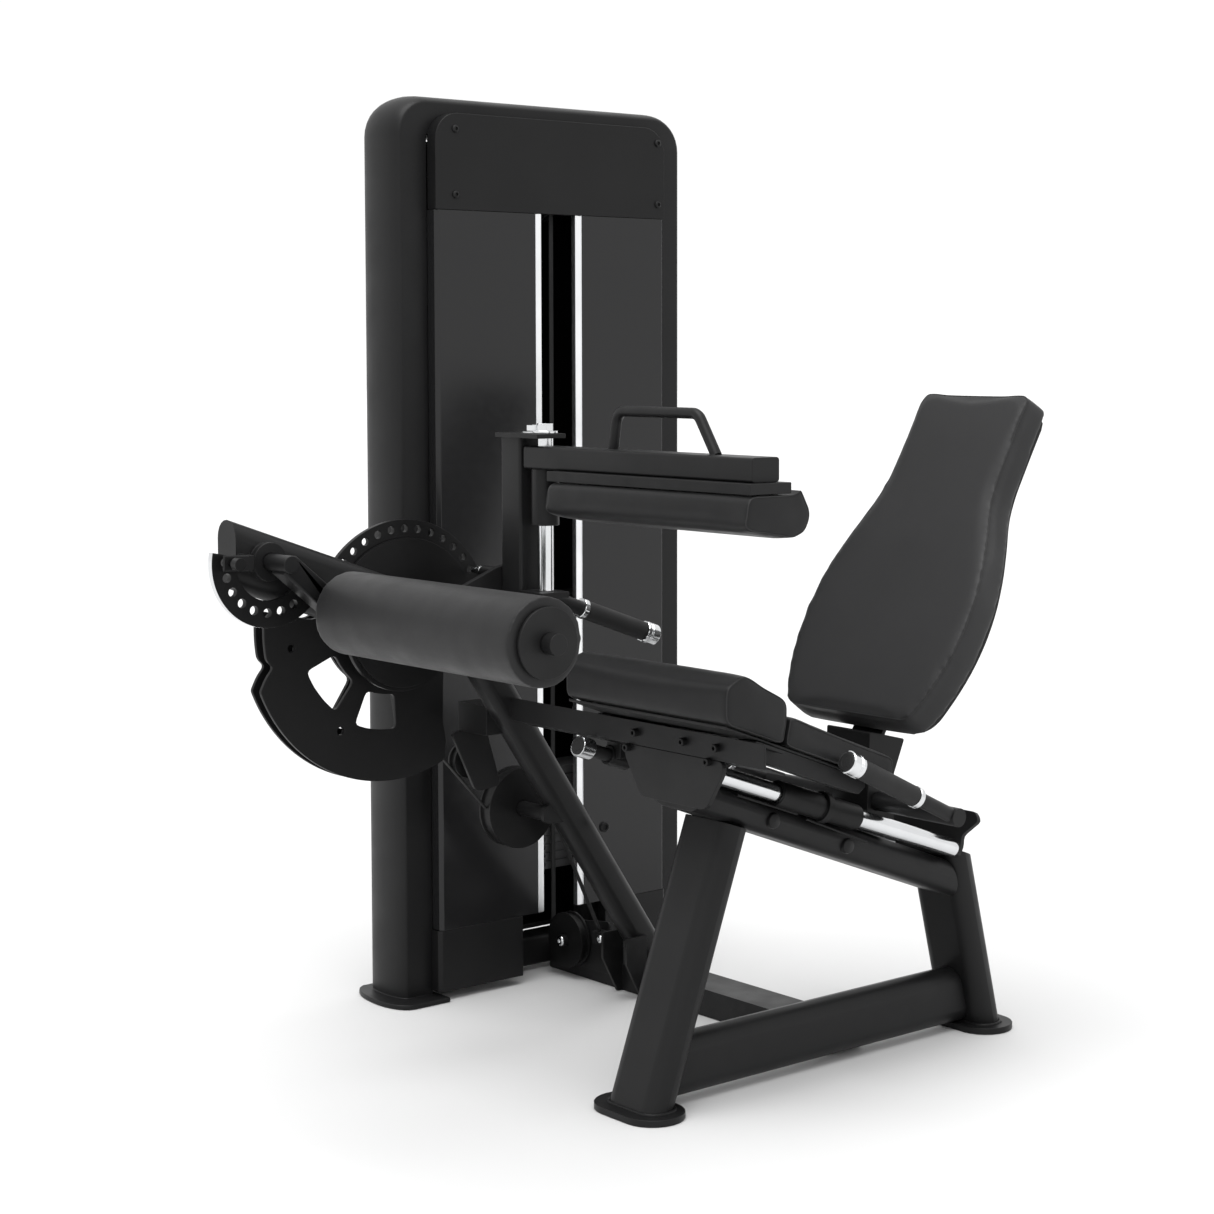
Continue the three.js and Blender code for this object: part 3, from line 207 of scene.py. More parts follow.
def vinyl(name, colour, roughness=0.46, grain=0.28, specular=0.4):
    """Coated upholstery cloth: small pebble grain with painted shade in its grooves, faint creasing, paler
    on its convex edges.
    """
    material, tree, bsdf = shader(name)
    coords = object_coords(tree)
    warp = node(tree, "ShaderNodeVectorMath", {0: coords}, operation="ADD")
    wobble = node(tree, "ShaderNodeTexNoise", {"Vector": coords, "Scale": 260.0, "Detail": 1.0})
    shift = {0: wobble.outputs["Color"], "Scale": 0.0012}
    small = node(tree, "ShaderNodeVectorMath", shift, operation="SCALE")
    tree.links.new(small.outputs[0], warp.inputs[1])
    lookup = {"Vector": warp.outputs[0], "Scale": 780.0}
    cells = node(tree, "ShaderNodeTexVoronoi", lookup, feature="DISTANCE_TO_EDGE")
    pebble = ramp(tree, cells.outputs["Distance"], 0.0, 0.32, 0.0, 1.0)
    cloud = patches(tree, coords, 5.0, 5.0, 0.90, 1.10)
    # The grain's grooves are painted up to a fifth darker: painted shade in the grooves.
    groove = ramp(tree, pebble, 0.0, 0.5, 0.80, 1.04)
    base = tint(tree, colour, times(tree, cloud, groove))
    # Paler on its convex edges, led by pointiness.
    edge = node(tree, "ShaderNodeNewGeometry").outputs["Pointiness"]
    paler_edges = ramp(tree, edge, 0.51, 0.58, 0.0, 0.25)
    base = blend_colour(tree, paler_edges, base, tuple(c * 1.8 for c in colour))
    tree.links.new(base, bsdf.inputs["Base Color"])
    smear = patches(tree, coords, 24.0, 4.0, roughness - 0.04, roughness + 0.07)
    tree.links.new(smear, bsdf.inputs["Roughness"])
    crease = noise(tree, coords, 38.0, 4.0, 0.6)
    bumped(tree, bsdf, [(pebble, grain, 0.00018), (crease, 0.10, 0.0009)])
    set_sockets(bsdf, {"Specular IOR Level": specular, "Sheen Weight": 0.06, "Sheen Roughness": 0.4})
    return material


def plated(name, colour=(0.86, 0.87, 0.88), roughness=0.09):
    """Polished plating with hairline scratches along X."""
    material, tree, bsdf = shader(name)
    coords = object_coords(tree)
    stretch = node(tree, "ShaderNodeMapping", {"Vector": coords, "Scale": (30.0, 900.0, 900.0)}).outputs[0]
    scratch = noise(tree, stretch, 1.0, 3.0)
    factor = patches(tree, coords, 14.0, 3.0, 0.92, 1.03)
    tree.links.new(tint(tree, colour, factor), bsdf.inputs["Base Color"])
    tree.links.new(ramp(tree, scratch, 0.35, 0.75, roughness, roughness + 0.08), bsdf.inputs["Roughness"])
    bumped(tree, bsdf, [(scratch, 0.05, 0.0001)])
    set_sockets(bsdf, {"Metallic": 1.0})
    return material


def moulded(name, colour, roughness=0.5, specular=0.4, grain=0.3, scale=1400.0):
    """Moulded plastic or rubber: spark-eroded grain and dull patches."""
    material, tree, bsdf = shader(name)
    coords = object_coords(tree)
    factor = patches(tree, coords, 11.0, 4.0, 0.85, 1.15)
    tree.links.new(tint(tree, colour, factor), bsdf.inputs["Base Color"])
    smear = patches(tree, coords, 30.0, 3.0, roughness - 0.06, roughness + 0.08)
    tree.links.new(smear, bsdf.inputs["Roughness"])
    bumped(tree, bsdf, [(noise(tree, coords, scale, 2.0), grain, 0.0002)])
    set_sockets(bsdf, {"Specular IOR Level": specular})
    return material


def smoked_sheet(name, colour, roughness=0.16):
    """Gloss sheet with a slight waviness and fine dust."""
    material, tree, bsdf = shader(name)
    coords = object_coords(tree)
    factor = patches(tree, coords, 3.0, 3.0, 0.96, 1.04)
    tree.links.new(tint(tree, colour, factor), bsdf.inputs["Base Color"])
    dust = noise(tree, coords, 60.0, 6.0, 0.65)
    tree.links.new(ramp(tree, dust, 0.35, 0.75, roughness, roughness + 0.06), bsdf.inputs["Roughness"])
    bumped(tree, bsdf, [(noise(tree, coords, 1800.0, 1.0), 0.05, 0.0001)])
    set_sockets(bsdf, {"Specular IOR Level": 0.34})
    return material


PAINT = powder_coat("frame_powder_coat", (0.0085, 0.0085, 0.0088), 0.42, specular=0.2)
DARK = powder_coat("dark_powder_coat", (0.0065, 0.0065, 0.0067), 0.40, specular=0.17)
HEADER = powder_coat("header_paint", (0.0075, 0.0075, 0.0077), 0.40, wear=0.2, specular=0.19)
PANEL = smoked_sheet("smoked_panel", (0.0120, 0.0120, 0.0125))
TRIM = plated("bright_trim", (0.90, 0.91, 0.92), 0.30)
CHROME = plated("chrome_plate", (0.72, 0.73, 0.74), 0.13)
VINYL = vinyl("grey_vinyl", (0.0190, 0.0190, 0.0196), specular=0.26)
VINYL_DARK = vinyl("dark_vinyl", (0.0092, 0.0092, 0.0096), specular=0.2)
# A darker copy of the grey vinyl for the roller pad: painted shade that offsets the light on the roller's
# top.
VINYL_ROLLER_SHADED = vinyl("roller_vinyl_painted_shade", (0.0110, 0.0110, 0.0114), specular=0.24)
STITCH = moulded("seam_cord", (0.0150, 0.0150, 0.0154), 0.5, 0.3, 0.5, 3000.0)
PLASTIC = moulded("black_plastic", (0.006, 0.006, 0.0062), specular=0.25)
RUBBER = moulded("black_rubber", (0.0115, 0.0115, 0.0117), 0.6, 0.3, 0.4, 700.0)
CAST = powder_coat("cast_plate_paint", (0.045, 0.045, 0.046), 0.5, wear=0.5, specular=0.5, grain=0.6)
# Near black and barely reflective: painted shade of the tower's closed inside, put on the rear cover.
INTERIOR_SHADE = moulded("tower_interior_painted_shade", (0.0015, 0.0015, 0.0016), 0.8, 0.05)
SLOT_MATERIAL = {
    "frame_paint": PAINT, "dark_paint": DARK, "panel": PANEL, "chrome": CHROME, "cushion": VINYL,
    "cushion_dark": VINYL_DARK, "black_plastic": PLASTIC, "rubber": RUBBER, "weights": CAST,
}


# ---------------------------------------------------------------- mesh helpers
def linked(name, data):
    obj = bpy.data.objects.new(name, data)
    bpy.context.scene.collection.objects.link(obj)
    return obj


def evaluated_mesh(obj, **options):
    """The object's mesh with its modifiers applied."""
    graph = bpy.context.evaluated_depsgraph_get()
    return bpy.data.meshes.new_from_object(obj.evaluated_get(graph), **options)


def show(name, mesh, body, slot, material=None, smooth_angle=35):
    """Makes an object of a mesh, shades it with normals led by its large faces, and rides it on a body."""
    obj = linked(name, mesh)
    if not mesh.materials:
        mesh.materials.append(material or SLOT_MATERIAL[slot])
    mesh.shade_smooth()
    mesh.set_sharp_from_angle(angle=math.radians(smooth_angle))
    lead = obj.modifiers.new("lead", "WEIGHTED_NORMAL")
    lead.keep_sharp = True
    lead.weight = 100
    graph = bpy.context.evaluated_depsgraph_get()
    shaded = evaluated_mesh(obj, preserve_all_data_layers=True, depsgraph=graph)
    obj.modifiers.clear()
    obj.data = shaded
    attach(obj, body)
    return obj


def mesh_from(name, verts, faces):
    mesh = bpy.data.meshes.new(name)
    mesh.from_pydata([tuple(v) for v in verts], [], faces)
    mesh.validate()
    return mesh


def tidy_normals(bm):
    bmesh.ops.recalc_face_normals(bm, faces=bm.faces)


def merged(name, parts):
    """One mesh of several (verts, faces) lists."""
    verts, faces = [], []
    for part_verts, part_faces in parts:
        base = len(verts)
        verts.extend(part_verts)
        faces.extend([tuple(base + i for i in f) for f in part_faces])
    mesh = mesh_from(name, verts, faces)
    bm = bmesh.new()
    bm.from_mesh(mesh)
    tidy_normals(bm)
    bm.to_mesh(mesh)
    bm.free()
    return mesh


def frame_on(axis):
    """Two directions across an axis."""
    axis = axis.normalized()
    side = axis.cross(Z) if abs(axis.z) < 0.9 else axis.cross(X)
    side.normalize()
    return side, axis.cross(side).normalized()


def lathe(profile, origin, axis, steps=40, hexed=()):
    """Turns a profile of (radius, height) in mm about an axis. Points listed in hexed are hexagonal."""
    axis = axis.normalized()
    u, v = frame_on(axis)
    verts, faces = [], []
    for i, (radius, height) in enumerate(profile):
        for k in range(steps):
            a = 2 * math.pi * k / steps
            r = radius
            if i in hexed:
                r *= math.cos(math.pi / 6) / math.cos((a % (math.pi / 3)) - math.pi / 6)
            verts.append(origin + (u * math.cos(a) + v * math.sin(a)) * (r * MM) + axis * (height * MM))
    closed = profile[0] == profile[-1]
    rings = len(profile)
    for i in range(rings - 1):
        for k in range(steps):
            n = (k + 1) % steps
            faces.append((i * steps + k, i * steps + n, (i + 1) * steps + n, (i + 1) * steps + k))
    if not closed:
        faces.append(tuple(range(steps))[::-1])
        faces.append(tuple((rings - 1) * steps + k for k in range(steps)))
    return verts, faces


def tube(path, radius, steps=12, closed=False, ripple=0.0, ripples=0):
    """A round tube along points, in metres; ripple adds weld-like rings."""
    pts = [Vector(p) for p in path]
    count = len(pts)
    verts, faces = [], []
    normal = None
    for i, p in enumerate(pts):
        before = pts[i - 1] if i or closed else p
        after = pts[(i + 1) % count] if i + 1 < count or closed else p
        tangent = (after - before).normalized()
        if normal is None:
            normal = frame_on(tangent)[0]
        normal = (normal - tangent * normal.dot(tangent)).normalized()
        across = tangent.cross(normal)
        r = radius * (1 + ripple * math.sin(2 * math.pi * ripples * i / count)) if ripples else radius
        for k in range(steps):
            a = 2 * math.pi * k / steps
            verts.append(p + (normal * math.cos(a) + across * math.sin(a)) * r)
    rings = count if closed else count - 1
    for i in range(rings):
        for k in range(steps):
            n = (k + 1) % steps
            j = (i + 1) % count
            faces.append((i * steps + k, i * steps + n, j * steps + n, j * steps + k))
    if not closed:
        faces.append(tuple(range(steps))[::-1])
        faces.append(tuple((count - 1) * steps + k for k in range(steps)))
    return verts, faces


def plate(outline, holes, y0, y1, bevel=0.8, centre=(0, 0)):
    """A flat plate with holes and eased edges, from outlines in millimetres. Lies in XZ, thick along Y."""
    curve = bpy.data.curves.new("outline", "CURVE")
    curve.dimensions = "2D"
    curve.fill_mode = "BOTH"
    for points in [outline, *holes]:
        spline = curve.splines.new("POLY")
        spline.points.add(len(points) - 1)
        for p, (a, b) in zip(spline.points, points):
            p.co = ((centre[0] + a) * MM, (centre[1] + b) * MM, 0, 1)
        spline.use_cyclic_u = True
    curve.extrude = (y1 - y0) / 2 * MM - bevel * MM
    curve.bevel_depth = bevel * MM
    curve.bevel_resolution = 1
    curve.offset = -bevel * MM
    obj = linked("outline", curve)
    mesh = evaluated_mesh(obj)
    bpy.data.objects.remove(obj)
    turn = Matrix.Rotation(math.pi / 2, 4, "X")
    place = Matrix.Translation(ORIGIN + Vector((0, (y0 + y1) / 2, 0)) * MM)
    mesh.transform(place @ turn)
    bm = bmesh.new()
    bm.from_mesh(mesh)
    bmesh.ops.remove_doubles(bm, verts=bm.verts, dist=1e-6)
    tidy_normals(bm)
    verts = [v.co.copy() for v in bm.verts]
    faces = [tuple(v.index for v in f.verts) for f in bm.faces]
    bm.free()
    return verts, faces


def circle(radius, count=32, centre=(0, 0), start=0.0):
    return [
        (centre[0] + radius * math.cos(start + 2 * math.pi * i / count),
         centre[1] + radius * math.sin(start + 2 * math.pi * i / count))
        for i in range(count)
    ]


def polar(radius, degrees):
    return radius * math.cos(math.radians(degrees)), radius * math.sin(math.radians(degrees))


def arc(radius, a, b, steps):
    return [polar(radius, a + (b - a) * i / steps) for i in range(steps + 1)]


def rounded(points, radius, steps=5):
    """A polygon with its corners rounded by quadratic curves."""
    out = []
    count = len(points)
    for i in range(count):
        p = Vector(points[i])
        a = Vector(points[i - 1]) - p
        b = Vector(points[(i + 1) % count]) - p
        reach = min(radius, a.length / 2.01, b.length / 2.01)
        s, e = p + a.normalized() * reach, p + b.normalized() * reach
        for k in range(steps + 1):
            t = k / steps
            out.append(tuple(s * (1 - t) ** 2 + p * (2 * t * (1 - t)) + e * t * t))
    return out


# ---------------------------------------------------------------- CAD shapes with eased edges
def flattened(mesh):
    """A CAD mesh for editing, welded and with its coplanar triangles joined."""
    bm = bmesh.new()
    bm.from_mesh(mesh)
    bmesh.ops.remove_doubles(bm, verts=bm.verts, dist=WELD_DISTANCE)
    bmesh.ops.dissolve_limit(bm, angle_limit=FLAT_ANGLE, verts=bm.verts, edges=bm.edges)
    return bm


def eased(name, width=1.0, segments=2, angle=32, material=None, regions=()):
    """The CAD piece with its sharp edges eased; regions paint faces by a test on their centre and normal."""
    mesh = NODES[name].data.copy()
    mesh.materials.clear()
    bm = flattened(mesh)
    tidy_normals(bm)
    limit = math.radians(angle)
    sharp = [e for e in bm.edges if len(e.link_faces) == 2 and e.calc_face_angle(0) > limit]
    bmesh.ops.bevel(
        bm, geom=sharp, offset=width * MM, segments=segments, profile=0.6, affect="EDGES",
        clamp_overlap=False,
    )
    bmesh.ops.triangulate(bm, faces=[f for f in bm.faces if len(f.verts) > 4])
    slot = NODE_SLOT[name]
    mesh.materials.append(material or SLOT_MATERIAL[slot])
    for index, (other, test) in enumerate(regions, start=1):
        mesh.materials.append(other)
        for face in bm.faces:
            if test(face.calc_center_median(), face.normal):
                face.material_index = index
    bm.to_mesh(mesh)
    bm.free()
    if "custom_normal" in mesh.attributes:
        mesh.attributes.remove(mesh.attributes["custom_normal"])
    obj = show(name + "_shape", mesh, NODE_BODY[name], slot)
    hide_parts(name)
    return obj


# ---------------------------------------------------------------- cushions
def voxel_copy(name, shrink, relax):
    """A CAD cushion as an even skin, drawn in a little and relaxed, ready to be blown up."""
    obj = linked(name + "_skin", NODES[name].data.copy())
    obj.data.materials.clear()
    remesh = obj.modifiers.new("even", "REMESH")
    remesh.mode = "VOXEL"
    remesh.voxel_size = VOXEL * MM
    mesh = evaluated_mesh(obj)
    bpy.data.objects.remove(obj)
    bm = bmesh.new()
    bm.from_mesh(mesh)
    every_axis = {"use_axis_x": True, "use_axis_y": True, "use_axis_z": True}
    for _ in range(relax):
        bmesh.ops.smooth_vert(bm, verts=bm.verts, factor=0.5, **every_axis)
    bm.normal_update()
    for v in bm.verts:
        v.co -= v.normal * shrink * MM
    bm.to_mesh(mesh)
    bm.free()
    return mesh


def evened(mesh, move):
    """The displacement field averaged over neighbouring vertices, so no creases are left in it."""
    pairs = np.zeros(len(mesh.edges) * 2, dtype=int)
    mesh.edges.foreach_get("vertices", pairs)
    a, b = pairs[0::2], pairs[1::2]
    count = np.maximum(np.bincount(pairs, minlength=len(move)), 1)[:, None]
    for _ in range(EVENING_ROUNDS):
        total = np.zeros_like(move)
        np.add.at(total, a, move[b])
        np.add.at(total, b, move[a])
        move = 0.5 * move + 0.5 * total / count
    return move


def seam_loop(name, axis):
    """The outline of the largest flat face of a CAD cushion that looks along an axis."""
    bm = flattened(NODES[name].data)
    faces = [f for f in bm.faces if f.normal.dot(axis) > 0.95]
    best = max(faces, key=lambda f: f.calc_area())
    loop = [v.co.copy() for v in best.verts]
    bm.free()
    return loop


def seam(name, number, loop, surface):
    """A piped seam laid on the blown surface along a CAD edge loop."""
    points = []
    for i, p in enumerate(loop):
        q = loop[(i + 1) % len(loop)]
        count = max(1, round((q - p).length / (SEAM_STEP * MM)))
        points.extend(p.lerp(q, k / count) for k in range(count))
    path = []
    for p in points:
        place, normal, _, _ = surface.find_nearest(p)
        path.append(place + normal * (SEAM_RADIUS * 0.35 * MM))
    for _ in range(3):
        path = [(path[i - 1] + path[i] * 2 + path[(i + 1) % len(path)]) / 4 for i in range(len(path))]
    mesh = merged(name, [tube(path, SEAM_RADIUS * MM, 8, closed=True)])
    label = f"{name}_seam_{number}"
    return show(label, mesh, NODE_BODY[name], NODE_SLOT[name], STITCH)


def vertex_places(mesh):
    places = np.zeros(len(mesh.vertices) * 3)
    mesh.vertices.foreach_get("co", places)
    return places.reshape(-1, 3)


def add_cloth(obj, rest):
    """Cloth under pressure, pinned where the skin faces the board that it rests on."""
    cloth = obj.modifiers.new("cloth", "CLOTH")
    cloth.settings.use_pressure = True
    cloth.settings.uniform_pressure_force = CLOTH_PRESSURE
    cloth.settings.quality = 4
    cloth.settings.tension_stiffness = CLOTH_STIFFNESS
    cloth.settings.compression_stiffness = CLOTH_STIFFNESS
    cloth.settings.bending_stiffness = CLOTH_BENDING
    cloth.settings.effector_weights.gravity = 0
    if rest is not None:
        held = obj.vertex_groups.new(name="held")
        held.add([v.index for v in obj.data.vertices if v.normal.dot(rest) > 0.85], 1.0, "REPLACE")
        cloth.settings.vertex_group_mass = "held"
    cloth.point_cache.frame_start = 1
    cloth.point_cache.frame_end = CLOTH_FRAMES


def blow_up(obj, cap, rest):
    """Moves the skin as cloth pressure does, evened out, and by no more than the cap."""
    mesh, scene = obj.data, bpy.context.scene
    start = vertex_places(mesh)
    add_cloth(obj, rest)
    for f in range(1, CLOTH_FRAMES + 1):
        scene.frame_set(f)
    swollen = evaluated_mesh(obj)
    obj.modifiers.clear()
    move = evened(mesh, vertex_places(swollen) - start)
    length = np.maximum(np.linalg.norm(move, axis=1, keepdims=True), 1e-9)
    move *= np.minimum(1, cap * MM / length)
    mesh.vertices.foreach_set("co", (start + move).ravel())
    scene.frame_set(1)


def blown(name, cap, shrink, relax, rest):
    """A cushion's mesh, blown up and subdivided once."""
    mesh = voxel_copy(name, shrink, relax)
    obj = linked(name + "_cloth", mesh)
    blow_up(obj, cap, rest)
    bpy.data.objects.remove(obj)
    holder = linked(name + "_fine", mesh)
    fine = holder.modifiers.new("fine", "SUBSURF")
    fine.levels = fine.render_levels = 1
    out = evaluated_mesh(holder)
    bpy.data.objects.remove(holder)
    return out


def cushion(name, slot, rest, seams=(), cap=4, shrink=3, relax=3, material=None):
    """A padded cushion in place of its CAD node, with a piped seam for each direction in seams."""
    mesh = blown(name, cap, shrink, relax, rest)
    mesh.materials.clear()
    obj = show(name + "_upholstery", mesh, NODE_BODY[name], slot, material, smooth_angle=60)
    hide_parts(name)
    corners = [tuple(p.vertices) for p in mesh.polygons]
    surface = BVHTree.FromPolygons([v.co for v in mesh.vertices], corners)
    for number, axis in enumerate(seams, start=1):
        seam(name, number, seam_loop(name, axis), surface)
    return obj


# ---------------------------------------------------------------- fasteners
def button_bolt(origin, axis, radius=6.5, height=4.5, recess=2.6):
    r, h = radius, height
    profile = [
        (r * 0.82, 0.0), (r, 0.4), (r, h * 0.35), (r * 0.92, h * 0.68), (r * 0.72, h * 0.92), (r * 0.55, h),
        (recess * 1.12, h), (recess, h * 0.93), (recess, h * 0.35), (recess * 0.2, h * 0.3),
    ]
    return lathe(profile, origin, axis, 36, hexed=(6, 7, 8))


def cap_screw(origin, axis, radius=8, height=9, recess=3.6):
    r, h = radius, height
    profile = [
        (r, 0.0), (r, h - 0.9), (r - 0.9, h), (recess * 1.15, h), (recess, h - 0.5), (recess, h * 0.45),
        (recess * 0.2, h * 0.4),
    ]
    return lathe(profile, origin, axis, 36, hexed=(3, 4, 5))


def hex_nut(origin, axis, across=11, height=9):
    profile = [
        (across * 0.86, 0.0), (across, 0.9), (across, height - 0.9), (across * 0.86, height),
        (across * 0.5, height), (across * 0.5, height - 1.5), (across * 0.1, height - 1.5),
    ]
    return lathe(profile, origin, axis, 36, hexed=(0, 1, 2, 3))


# ---------------------------------------------------------------- tower and weights
def tower():
    eased("tower_frame", 2.0, 3)
    eased("header_cover", 1.6, 3, material=HEADER)
    for side, (low, high) in SLOT_STRIPS.items():
        def on_strip(centre, normal, low=low, high=high):
            return low < drawing(centre).x < high and drawing(centre).y < COVER_FRONT + 13
        eased("panel_" + side, 1.2, 2, regions=[(TRIM, on_strip)])
        eased("skirt_" + side, 1.4, 3)
    # The rear cover is painted with the shade of the tower's inside.
    eased("rear_cover", 1.0, 2, material=INTERIOR_SHADE)
    bolts = [
        button_bolt(at(TOWER_X + x, COVER_FRONT + 0.2, z), -Y, 6.5, 4.0, 3.0)
        for x in (-205, 229) for z in (1343, 1450)
    ]
    show("header_bolts", merged("header_bolts", bolts), "frame", "black_plastic", PLASTIC)
    seal = plate([(-244, 58.5), (244, 58.5), (244, 67.5), (-244, 67.5)], [], 498.5, 502.5, 0.8, (TOWER_X, 0))
    show("rear_seal", merged("rear_seal", [seal]), "frame", "rubber", RUBBER)


def guide_rods():
    """The rods, with the rubber buffers that the weights land on."""
    for name, rod_x in (("guide_rod_left", TOWER_X - ROD_REACH), ("guide_rod_right", TOWER_X + ROD_REACH)):
        def on_buffer(centre, normal, rod_x=rod_x):
            place = drawing(centre)
            return place.z < 182.5 and math.hypot(place.x - rod_x, place.y - ROD_Y) > 13
        eased(name, 0.6, 2, regions=[(RUBBER, on_buffer)])


# ---------------------------------------------------------------- plain pieces
# Names, then how wide their eased edges are and in how many steps.
EASED_PIECES = [
    (("weight_stack_rest", "weight_stack_lifted"), 0.5, 1),
    (("stack_head", "top_pulley", "lower_pulley", "cam_pulley", "guide_pulley", "selector_pin"), 0.8, 2),
    (("belt_cam", "belt_floor", "belt_riser", "belt_drop"), 0.3, 1),
    (("front_leg", "rear_leg", "lower_tube", "main_rail", "seat_frame", "rear_end_plate", "post", "brace",
      "pivot_housing", "back_carriage", "lever_beam", "swing_arm", "hold_down_beam"), 1.2, 3),
    (("base_beam",), 0.2, 1),
    (("slide_rod_left", "slide_rod_right", "hold_down_shaft", "pivot_shaft", "range_pin"), 0.8, 3),
    (("seat_board", "hold_down_board", "back_board", "roller_core"), 1.5, 3),
    (("grip_left_sleeve", "grip_right_sleeve", "assist_grip_sleeve"), 1.4, 3),
]


def plain_pieces():
    for names, width, segments in EASED_PIECES:
        for name in names:
            eased(name, width, segments)
    eased("swing_pin", 0.8, 3, material=DARK)


# ---------------------------------------------------------------- grips
# Each grip as its free end and its root.
GRIP_ENDS = {
    side: (Vector((89, y, 510)), Vector((GRIP_ROOT[0], y, GRIP_ROOT[1])))
    for side, y in (("left", SEAT_Y - GRIP_SPREAD), ("right", SEAT_Y + GRIP_SPREAD))
}
ASSIST_END = (Vector((178, 45, 634)), Vector((-61.7, 45, 721)))
RELEASE_END = (Vector((-86, -92, 502)), Vector((25.4, -92, 462.8)))


def grip_band(free, root):
    """Tests for the plated cap and ring of a grip, by the distance from its free end."""
    axis = (root - free).normalized()

    def plated_part(centre, normal):
        away = drawing(centre) - free
        along = away.dot(axis)
        near, far = SLEEVE_ENDS
        plated = along < near or far < along < GRIP_BAND_END
        return (away - axis * along).length < 22 and plated
    return plated_part


def grip_insert(free, root):
    """The moulded disc in a grip's free end."""
    axis = (free - root).normalized()
    profile = [(13.6, -0.2), (13.6, 0.7), (12.4, 1.3), (8.6, 1.5), (8.2, 1.1), (7.8, 1.5), (0.4, 1.7)]
    return lathe(profile, at(*free), axis, 40)


def grip_stem(free, root):
    """The bar inside a grip, from under its cap to its root."""
    length = (root - free).length
    return lathe([(0.5, 20), (11, 20), (11, length + 1), (0.5, length + 1)], at(*free), root - free, 32)


def grip_plating(free, root):
    """The plated cap and ring of a grip, with turned grooves."""
    cap = [
        (11, 26), (16, 26), (17, 25), (17, 19.4), (16.3, 18.8), (17, 18.2), (17, 16.4), (16.3, 15.8),
        (17, 15.2), (17, 1.6), (15.4, 0), (0.5, 0),
    ]
    ring = [(11, 152), (15.2, 152), (16, 152.8), (16, 160.2), (15.2, 161), (11, 161), (11, 152)]
    return [lathe(profile, at(*free), root - free, 48) for profile in (cap, ring)]


def grips():
    pairs = list(GRIP_ENDS.values())
    length = 2 * GRIP_BAR_HALF
    profile = [(0.5, 0), (12.6, 0), (14, 0), (14, length - 1.4), (12.6, length), (0.5, length)]
    bar = lathe(profile, at(GRIP_ROOT[0], SEAT_Y - GRIP_BAR_HALF, GRIP_ROOT[1]), Y, 40)
    frame_bar = show("grip_bars", merged("grip_bars", [bar] + [grip_stem(*pair) for pair in pairs]),
                     "back_rest", "chrome", PAINT)
    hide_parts("grip_frame")
    plating = [part for pair in pairs for part in grip_plating(*pair)]
    show("grip_plating", merged("grip_plating", plating), "back_rest", "chrome", CHROME)
    assist = show("assist_bar", merged("assist_bar", [grip_stem(*ASSIST_END)]), "frame", "chrome", PAINT)
    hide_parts("assist_grip_bar")
    show("assist_plating", merged("assist_plating", grip_plating(*ASSIST_END)), "frame", "chrome", CHROME)
    eased("release_knob", 1.2, 3, material=RUBBER, regions=[(CHROME, grip_band(*RELEASE_END))])
    inserts = [
        ("release_insert", [RELEASE_END], "release"), ("grip_inserts", pairs, "back_rest"),
        ("assist_insert", [ASSIST_END], "frame"),
    ]
    for name, ends, body in inserts:
        discs = [grip_insert(*pair) for pair in ends]
        show(name, merged(name, discs), body, "black_plastic", RUBBER)


# ---------------------------------------------------------------- cam, range disc and ring
def window(inner, outer, a, b):
    """A rounded window between two arcs, angles in degrees."""
    outline = arc(inner, a, b, 3) + arc(outer, b, a, 3)
    return rounded(outline, 9, 3)


def hub_profile(length):
    """A hub on the lever's shaft."""
    return [(SHAFT_BORE, 0), (60, 0), (60, length), (SHAFT_BORE, length), (SHAFT_BORE, 0)]


def cam():
    outline = rounded([
        (-134, 12), polar(217, 172), *arc(225, 176, 191, 2), polar(215, 194.4), polar(231, 197),
        *arc(248, 201, 293, 46), (104, -196), (96, -168), (100, -60), *arc(112, -30, 160, 64),
    ], 15, 4)
    bolt_holes = [circle(6, 20, polar(180, 188.6)), circle(6, 20, polar(186, 240))]
    near_holes = [window(110, 165, 203, 232), window(113, 168, 246.5, 273)]
    far_holes = [window(104, 180, 196, 236), window(105, 180, 240.5, 279)]
    core = arc(200, 205, 290, 40) + arc(238, 290, 205, 40)
    parts = [
        plate(outline, near_holes + bolt_holes, 221, 228, 1.0, PIVOT),
        plate(outline, far_holes + bolt_holes, 246, 253, 1.0, PIVOT),
        plate(core, [], 228, 246, 0.3, PIVOT),
    ]
    hub = hub_profile(20)
    parts.append(lathe(hub, at(PIVOT[0], 227, PIVOT[1]), Y, 64))
    obj = show("cam_plates", merged("cam_plates", parts), "lever", "dark_paint", DARK)
    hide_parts("cam")


def range_disc():
    outline = arc(161, -12, 172, 92) + arc(104, 180, 340, 80)
    holes = [circle(6, 20, polar(147, 31.4 + 9.6 * k)) for k in range(12)] + [circle(SHAFT_BORE, 48)]
    raised = arc(133, -10, 170, 80) + arc(98, 182, 338, 70)
    hub = hub_profile(28)
    parts = [
        plate(outline, holes, 184.5, 193.5, 1.0, PIVOT),
        plate(raised, [circle(SHAFT_BORE, 48)], 178.5, 185, 1.0, PIVOT),
        lathe(hub, at(PIVOT[0], 192.7, PIVOT[1]), Y, 64),
    ]
    obj = show("range_plate", merged("range_plate", parts), "lever", "dark_paint", DARK)
    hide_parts("range_disc")


def swing_ring():
    outline = arc(54, 169, 328, 60) + arc(92, 328, 169, 80)
    holes = [circle(6.5, 20, polar(71, 177.4 + 17.6 * k)) for k in range(8)]
    mesh = merged("swing_ring", [plate(outline, holes, 4, 14.2, 0.8, SWING)])
    mesh.materials.append(DARK)
    mesh.materials.append(CHROME)
    hub = at(SWING[0], 9, SWING[1])
    for face in mesh.polygons:
        away = face.center - hub
        away.y = 0
        if away.length > 90.6 * MM and abs(face.normal.y) < 0.8:
            face.material_index = 1
    obj = show("swing_ring", mesh, "swing", "chrome")
    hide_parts("swing_adjuster")


